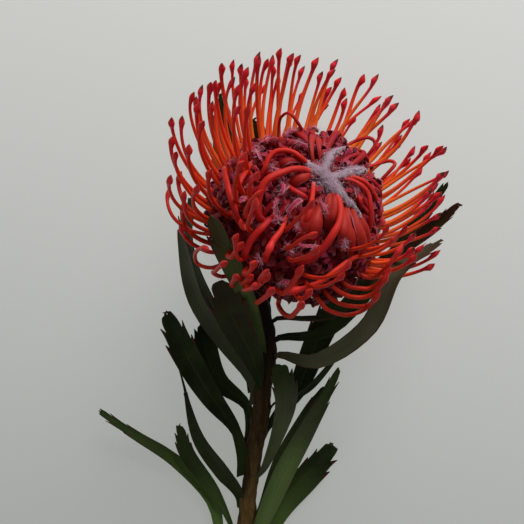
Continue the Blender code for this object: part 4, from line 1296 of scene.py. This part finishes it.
class PROTEA_OT_loops(bpy.types.Operator):
    """Model the thick closed florets that bow over the dome into the wool"""
    bl_idname = "protea.loops"
    bl_label = "Closed florets"

    def execute(self, context):
        florets = context.scene.protea_florets
        shares = np.interp(np.linspace(0, len(LOOP_SHAPE) - 1, LOOP_RINGS),
                           range(len(LOOP_SHAPE)), LOOP_SHAPE)
        rings = [(number, florets.loop_radius / MM * share)
                 for number, share in enumerate(shares.tolist())]
        blank = Blank(rod("loop_blank", 12, rings, flat=0.78))
        petal = Blank(rod("petal_blank", 12, [
            (height, radius * math.sin(math.pi * (0.05 + 0.72 * height / LOOP_RINGS)))
            for height, radius in rings], flat=0.24))
        pieces = [self.loop(blank, self.points(number), 0.7 + 0.2 * (number % 3) / 2, 0.9)
                  for number in range(LOOP_COUNT)]
        pieces += [self.loop(blank, noted(places), width, 0.4 * (number % 3) / 2)
                   for number, (width, *places) in enumerate(NOTED_LOOPS)]
        blank.scrap()
        dress("closed_florets", pieces, loop_finish(florets), "florets", "flower_head")
        pieces = [self.loop(petal, noted(places), 1.1 * width, number / len(NOTED_PETALS), cup=0.7)
                  for number, (width, *places) in enumerate(NOTED_PETALS)]
        petal.scrap()
        dress("broad_perianths", pieces, petal_finish(florets), "florets", "flower_head")
        return {"FINISHED"}

    def points(self, number):
        """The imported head's rule for a closed floret, sunk among the perianths."""
        rand = random.Random(LOOP_SEED + number)
        azimuth = number * GOLDEN_ANGLE
        front = 0.5 + 0.5 * math.cos(azimuth)
        seat = math.radians(rand.uniform(44, 58) + 14 * front)
        inner = math.radians(17)
        swing = rand.uniform(-0.5, 0.5)
        rise = rand.uniform(6, 9) + 3 * front
        points = []
        for part in range(6):
            share = part / 5
            bow = math.sin(math.pi * min(1, share * 0.92 + 0.02)) ** 0.8
            lift = (rise * bow - 1.5 * (1 - share) ** 3) * (0.15 + 0.35 * (1 - front))
            points.append(on_dome(azimuth + swing * share, seat + (inner - seat) * share, lift))
        return points

    def loop(self, blank, points, width, pick, cup=0.0):
        """A floret laid along points, with its broad side to the dome."""
        places = evenly(points, np.linspace(0, 1, len(blank.heights)))
        outward = (places[len(places) // 2] - HEAD_PLACE).normalized()
        side = (places[1] - places[0]).cross(outward)
        return blank.laid(places, side, width, cup, pick=pick)


class PROTEA_OT_styles(bpy.types.Operator):
    """Model the open styles with their knobs, the wires that stand round the head"""
    bl_idname = "protea.styles"
    bl_label = "Open styles"

    def execute(self, context):
        florets = context.scene.protea_florets
        root, neck = florets.style_root / MM, florets.style_neck / MM
        knob = florets.knob_radius / MM
        rings = [(STYLE_SHAFT * part / STYLE_PARTS,
                  root + (neck - root) * (part / STYLE_PARTS) ** 0.8)
                 for part in range(STYLE_PARTS + 1)]
        rings[-1] = (STYLE_SHAFT, 1.12 * neck)
        rings += [(STYLE_SHAFT + KNOB_LENGTH * place, knob * share) for place, share in KNOB_SHAPE]
        drawn = rod("style_blank", 8, rings)
        spots = read(drawn.data)
        middle = STYLE_SHAFT + 0.48 * KNOB_LENGTH
        spots[:, 0] += 0.42 * knob * np.interp(
            spots[:, 2], [STYLE_SHAFT, middle, STYLE_LENGTH], [0, 1, 0])
        write(drawn.data, spots)
        blank = Blank(drawn)
        hook = Blank(rod("hook_blank", 8, [
            (height, 0.95 if height < STYLE_SHAFT else 1.1 * radius + 0.15)
            for height, radius in rings]))
        taken = []
        pieces = [self.style(blank, number, taken) for number in self.order()]
        pieces = [piece for piece in pieces if piece]
        pieces += [self.hooked(hook, width, noted(points), number)
                   for number, (width, *points) in enumerate(HOOKED_STYLES)]
        blank.scrap()
        hook.scrap()
        dress("open_styles", pieces, style_finish(florets), "florets", "flower_head")
        return {"FINISHED"}

    def order(self):
        """The spiral's styles that are drawn: every third, then more where they stand dense."""
        drawn = (lambda azimuth: True,
                 lambda azimuth: math.cos(azimuth + math.radians(20)) < 0.8,
                 lambda azimuth: math.cos(azimuth - math.radians(155)) > -0.1)
        return [number for first in range(3) for number in range(first, STYLE_COUNT, 3)
                if drawn[first](number * GOLDEN_ANGLE) and number not in NOTED_INSTEAD]

    def hooked(self, blank, width, points, number):
        """A style that runs out of the front of the head and hooks up."""
        length = sum((b - a).length for a, b in zip(points, points[1:]))
        knob = min(KNOB_LENGTH, 0.3 * length) / length
        shares = [(1 - knob) * min(height / STYLE_SHAFT, 1)
                  + knob * max(height - STYLE_SHAFT, 0) / KNOB_LENGTH
                  for height in blank.heights.tolist()]
        side = (points[1] - points[0]).orthogonal()
        # Styles in front take the full painted shade of the front of the head
        return blank.laid(evenly(points, shares), side, width,
                          pick=random.Random(number).random(), behind=0.0)

    def style(self, blank, number, taken):
        """An open style, turned aside where it would cross a leaf or a style before it."""
        rand = random.Random(STYLE_SEED + number)
        share = (number + 0.5) / STYLE_COUNT
        azimuth = number * GOLDEN_ANGLE + rand.uniform(-0.05, 0.05)
        level = math.cos(STYLE_FROM) + share * (math.cos(STYLE_TO) - math.cos(STYLE_FROM))
        seat = math.acos(level) + math.radians(rand.uniform(-3, 3))
        behind = 0.5 - 0.5 * math.cos(azimuth)
        length = STYLE_LENGTH + 5 * behind - 4 * share + rand.uniform(-3, 3)
        lean = math.radians(12 + 6 * behind - 4 * share + rand.uniform(-7, 7))
        twist = rand.uniform(-0.15, 0.15)
        for swing in STYLE_SWINGS:
            route = style_route(azimuth + swing, seat, length, lean, twist)
            root = max(share for share in STYLE_ROOTS
                       if share == STYLE_ROOTS[0] or in_core(along(route, share + 0.03)))
            shares = [root + (0.80 - root) * part / 4 for part in range(5)]
            shares += [1 - KNOB_LENGTH * part / length for part in (1, 0.72, 0.3, 0)]
            passed = [along(route, 0.4 + 0.6 * part / 20) for part in range(21)]
            apart = all((place - other).length_squared > STYLE_ROOM ** 2
                        for place in passed for other in taken)
            if apart and clear_of_leaves([above_table(along(route, share), 0.75)
                                          for share in shares]):
                break
        else:
            return None
        taken += passed
        low = max(math.cos(azimuth - LOW_SIDE), 0) ** 5
        raised = max(math.cos(azimuth - RAISED_SIDE), 0) ** 4
        even = max(math.cos(azimuth - EVEN_SIDE), 0) ** 2
        neck = 1 - 0.13 * low - KNOB_LENGTH / length
        shares = [root + (neck - root) * min(height / STYLE_SHAFT, 1)
                  + max(height - STYLE_LENGTH + KNOB_LENGTH, 0) / length
                  for height in blank.heights.tolist()]
        inward = from_head(azimuth, -1, 0) - from_head(azimuth, 0, 0)
        aside = HEAD_AXIS.cross(inward)
        sway, phase = rand.uniform(0.5, 2.6), rand.uniform(0, math.tau)
        drawn_in = -STYLE_CLUMPING * (1 - 0.8 * even) * math.sin(STYLE_CLUMPS * azimuth)
        drawn_in -= STYLE_RISE * raised
        hooking = rand.uniform(-0.3, 1.6)
        places = []
        for share in shares:
            free = max(share - 0.35, 0) / 0.65
            wave = sway * free * math.sin(phase + 4 * free) + drawn_in * free ** 1.5
            turn = 8 * low * free ** 1.6 + hooking * max(free - 0.75, 0) ** 2 / 0.06
            places.append(above_table(along(route, share) + wave * aside + turn * inward, 1.0))
        widths = 1 + 0.3 * (rand.random() - 0.5)
        return blank.laid(places, rand.choice((-1, 1)) * aside, widths, pick=rand.random(),
                          behind=behind)


class PROTEA_OT_wool(bpy.types.Operator):
    """Model the tuft of unopened, woolly perianth tips in the middle of the dome"""
    bl_idname = "protea.wool"
    bl_label = "Woolly centre"

    def execute(self, context):
        florets = context.scene.protea_florets
        crests = [(noted(crest), [Vector((wide, 0)) for *_, wide in crest])
                  for crest in WOOL_CRESTS]
        rings = [(number, 1.0) for number in range(CREST_RINGS)]
        blank = Blank(rod("crest_blank", 14, rings, flat=0.4))
        shares = [part / (CREST_RINGS - 1) for part in range(CREST_RINGS)]
        pieces = []
        for number, (crest, widths) in enumerate(crests):
            rand = random.Random(number)
            places = [along(crest, share) for share in shares]
            side = (places[1] - places[0]).cross(places[0] - HEAD_PLACE)
            widths = [0.7 * along(widths, share).x * rand.uniform(0.85, 1.15) for share in shares]
            pieces.append(blank.laid(places, side, widths))
        blank.scrap()
        # The cushion under the wool takes the core's dark finish, painted shade
        dress("tuft_cushion", [self.cushion()], core_finish(florets), "wool", "woolly_centre")
        dress("woolly_tuft", pieces, wool_finish(florets), "wool", "woolly_centre")
        strand = Blank(rod("strand_blank", 3, [
            (part, STRAND_RADIUS * share) for part, share in enumerate(STRAND_SHAPE)]))
        rand = random.Random(WOOL_SEED)
        strands = [self.strand(strand, crests, rand) for _ in range(WOOL_STRANDS)]
        strand.scrap()
        # The strands are darker at the root, painted shade
        finish = hair_finish("wool_strands", florets.wool_shade, florets.wool_pale)
        dress("wool_strands", strands, finish, "wool", "woolly_centre")
        return {"FINISHED"}

    def cushion(self):
        """The lobed ground of the tuft, a ball pressed onto the core's top."""
        choose()
        bpy.ops.mesh.primitive_uv_sphere_add(segments=60, ring_count=32, radius=1)
        tuft = bpy.context.active_object
        (_, top_height), (edge, edge_height), *_ = CORE_OUTLINE
        fall = (top_height - edge_height) / edge
        places = []
        for vertex in tuft.data.vertices:
            flat = Vector((vertex.co.x, vertex.co.y))
            azimuth = math.atan2(flat.y, flat.x)
            lobe = 1 + 0.16 * math.sin(5 * azimuth) * flat.length
            radius = WOOL_RADIUS * lobe * flat.length
            under = top_height + GAP - fall * radius
            up, ripple = max(vertex.co.z, 0), 1 - 0.2 * math.cos(3 * azimuth)
            over = under + 0.55 * WOOL_HEIGHT * up * ripple
            height = over if vertex.co.z > 0.01 else under + 0.5 * (1 + max(vertex.co.z, -1))
            places.append(from_head(azimuth, radius, height))
        write(tuft.data, places)
        return tuft

    def strand(self, blank, crests, rand):
        """A matted lock that lies along a crest."""
        crest, widths = crests[rand.choice((0, 0, 0, 0, 1, 1, 2, 2, 3))]
        share = rand.random()
        foot = along(crest, share)
        onward = along(crest, min(share + 0.05, 1)) - along(crest, max(share - 0.05, 0))
        wide = along(widths, share).x
        outward = (foot - HEAD_PLACE).normalized()
        onward.normalize()
        aside = onward.cross(outward)
        off = rand.gauss(0, 0.5 if rand.random() < 0.8 else 1.3)
        turn = rand.gauss(0, 0.5)
        way = rand.choice((-1, 1)) * (math.cos(turn) * onward + math.sin(turn) * aside)
        length = rand.uniform(1.5, 4.5) * min(1, 0.3 + wide)
        rise = max(-0.6, 0.5 * wide * (1 - 0.7 * off ** 2)) + rand.uniform(-0.1, 0.45)
        root = foot + off * wide * aside + rise * outward - 0.5 * length * way
        bend = 0.35 * unit(rand)
        places = []
        for part in range(len(blank.heights)):
            there = part / (len(blank.heights) - 1)
            sink = 0.5 * (2 * there - 1) ** 2
            places.append(root + length * there * (way + bend * (there - 0.5)) - sink * outward)
        return blank.laid(places, outward, rand.uniform(0.6, 1.3))


class PROTEA_OT_leaves(bpy.types.Operator):
    """Model the leaves, toothed leathery blades along the stem"""
    bl_idname = "protea.leaves"
    bl_label = "Leaves"

    def execute(self, context):
        foliage = context.scene.protea_foliage
        finish = leaf_finish(foliage)
        for name, leaf in LEAVES.items():
            blade = self.blade(name, leaf, foliage.thickness)
            # The light mark is how much painted light a blade has
            mark(blade.data, **dict(zip(("red", "grey", "light"), leaf.tint)))
            dress(name.replace("leaf", "blade"), [blade], finish, "leaf", name)
        return {"FINISHED"}

    def blade(self, name, leaf, thickness):
        """A blade with its teeth, nerve and waved margin, from just clear of the stem."""
        points, outward, along_stem = leaf_line(leaf)
        drop, clasp = leaf.clasp
        points[0] -= 0.8 * outward + drop * along_stem
        points[1] -= 2.4 * outward - 1.0 * along_stem
        for number, bend in leaf.bends.items():
            points[number] = points[number] + Vector((*bend, 0))
        rows = [Vector(row) for row in leaf.teeth]
        last = len(rows) - 1
        base_face = Vector(leaf.base_face).normalized()
        tip_face = Vector(leaf.tip_face).normalized()
        moved = Vector((*leaf.moved, 0))
        middle, narrow = leaf.shares
        rand = random.Random(name)
        phase, fold = rand.uniform(0, math.tau), rand.uniform(0.25, 0.5)
        uneven = [[rand.uniform(-1, 1) for _ in rows] for _ in range(2)]
        choose()
        bpy.ops.mesh.primitive_grid_add(x_subdivisions=BLADE_ACROSS,
                                        y_subdivisions=BLADE_PARTS * last, size=2)
        blade = bpy.context.active_object
        places, across_marks, down_marks, teeth = [], [], [], []
        for vertex in blade.data.vertices:
            side, share = vertex.co.x, (vertex.co.y + 1) / 2
            down_middle, down_edge, wide, tooth = along(rows, share)
            jag = float(np.interp(share * last, range(len(rows)), uneven[side > 0]))
            jag *= min(max(3 * share - 1.4, 0), 1) * side ** 2
            place = down_middle + (down_edge + 0.022 * jag - down_middle) * abs(side)
            run = along(points, min(place + 0.02, 1)) - along(points, max(place - 0.02, 0))
            run.normalize()
            face = base_face.lerp(tip_face, min(1, 1.15 * place)).normalized()
            across = run.cross(face).normalized()
            normal = across.cross(run)
            half = middle + (narrow - middle) * min(max(2 * place - 0.8, 0), 1) + 0.07 * jag
            half = half * leaf.width / 2 * wide * (1 + (clasp - 1) * max(0, 1 - place / 0.25))
            wave = 0.6 * math.sin(8 * place + phase + 1.2 * side) * side ** 2 * min(1, 4 * place)
            rise = fold * (side ** 2 * 0.7 + abs(side) * 0.3) * half + wave
            spot = along(points, place) + side * half * across + rise * normal + UNDER_HEAD
            spot += moved * place ** 2
            spot.z = max(spot.z, 0.5 * thickness / MM)
            places.append(spot)
            across_marks.append(side)
            down_marks.append(place)
            teeth.append(max(tooth, 0) * side ** 4)
        write(blade.data, places)
        mark(blade.data, across=across_marks, down=down_marks, teeth=teeth)
        group = blade.vertex_groups.new(name="thickness")
        for vertex, side in zip(blade.data.vertices, across_marks):
            group.add([vertex.index], 1 - 0.5 * abs(side) ** 3, "REPLACE")
        thicken(blade, thickness, group.name)
        blade.vertex_groups.clear()
        return blade


class PROTEA_OT_stage(bpy.types.Operator):
    """Set the pale floor, the soft light and the camera that looks down"""
    bl_idname = "protea.stage"
    bl_label = "Stage"

    def execute(self, context):
        stage = context.scene.protea_stage
        choose()
        bpy.ops.mesh.primitive_plane_add(size=FLOOR_SIZE, location=(0, 0, 0))
        floor = bpy.context.active_object
        floor.name = floor.data.name = "floor"
        for vertex in floor.data.vertices:
            vertex.co.z = -FLOOR_DROP
        floor.data.materials.append(floor_finish(stage))
        self.light("key", stage.key_power, KEY_WIDE, KEY_PLACE)
        self.light("fill", stage.fill_power, FILL_WIDE, FILL_PLACE)
        world = context.scene.world or bpy.data.worlds.new("Sky")
        context.scene.world = world
        world.use_nodes = True
        backdrop = world.node_tree.nodes["Background"]
        backdrop.inputs["Color"].default_value = SKY_COLOUR
        backdrop.inputs["Strength"].default_value = stage.sky
        bpy.ops.object.camera_add(location=(*CAMERA_OVER, stage.camera_height), rotation=(0, 0, 0))
        camera = bpy.context.active_object
        camera.data.lens = stage.lens
        camera.data.sensor_width = 36
        camera.data.clip_start = 0.01
        context.scene.camera = camera
        context.scene.view_settings.view_transform = "Standard"
        return {"FINISHED"}

    def light(self, name, power, size, place):
        """A square area light that points at the middle of the part."""
        bpy.ops.object.light_add(type="AREA", location=place)
        lamp = bpy.context.active_object
        lamp.name = name
        lamp.data.energy = power
        lamp.data.size = size
        lamp.rotation_euler = (-Vector(place)).to_track_quat("-Z", "Y").to_euler()


class PROTEA_PT_panel(bpy.types.Panel):
    """Lists the pieces of the flower"""
    bl_idname = "PROTEA_PT_panel"
    bl_label = "Pincushion Protea"
    bl_space_type = "VIEW_3D"
    bl_region_type = "UI"
    bl_category = "Protea"

    def draw(self, context):
        for operator in OPERATORS:
            self.layout.operator(operator.bl_idname)


SETTINGS = {"protea_florets": ProteaFlorets, "protea_stalk": ProteaStalk,
            "protea_foliage": ProteaFoliage, "protea_stage": ProteaStage}
OPERATORS = (PROTEA_OT_stem, PROTEA_OT_bracts, PROTEA_OT_dome, PROTEA_OT_loops, PROTEA_OT_styles,
             PROTEA_OT_wool, PROTEA_OT_leaves, PROTEA_OT_stage)


def register():
    for kind in (*SETTINGS.values(), *OPERATORS, PROTEA_PT_panel):
        bpy.utils.register_class(kind)
    for name, kind in SETTINGS.items():
        setattr(bpy.types.Scene, name, PointerProperty(type=kind))


def unregister():
    for name in SETTINGS:
        delattr(bpy.types.Scene, name)
    for kind in reversed((*SETTINGS.values(), *OPERATORS, PROTEA_PT_panel)):
        bpy.utils.unregister_class(kind)


def main():
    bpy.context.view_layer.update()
    register()
    for operator in OPERATORS:
        group, name = operator.bl_idname.split(".")
        getattr(getattr(bpy.ops, group), name)()


if __name__ == "__main__":
    main()
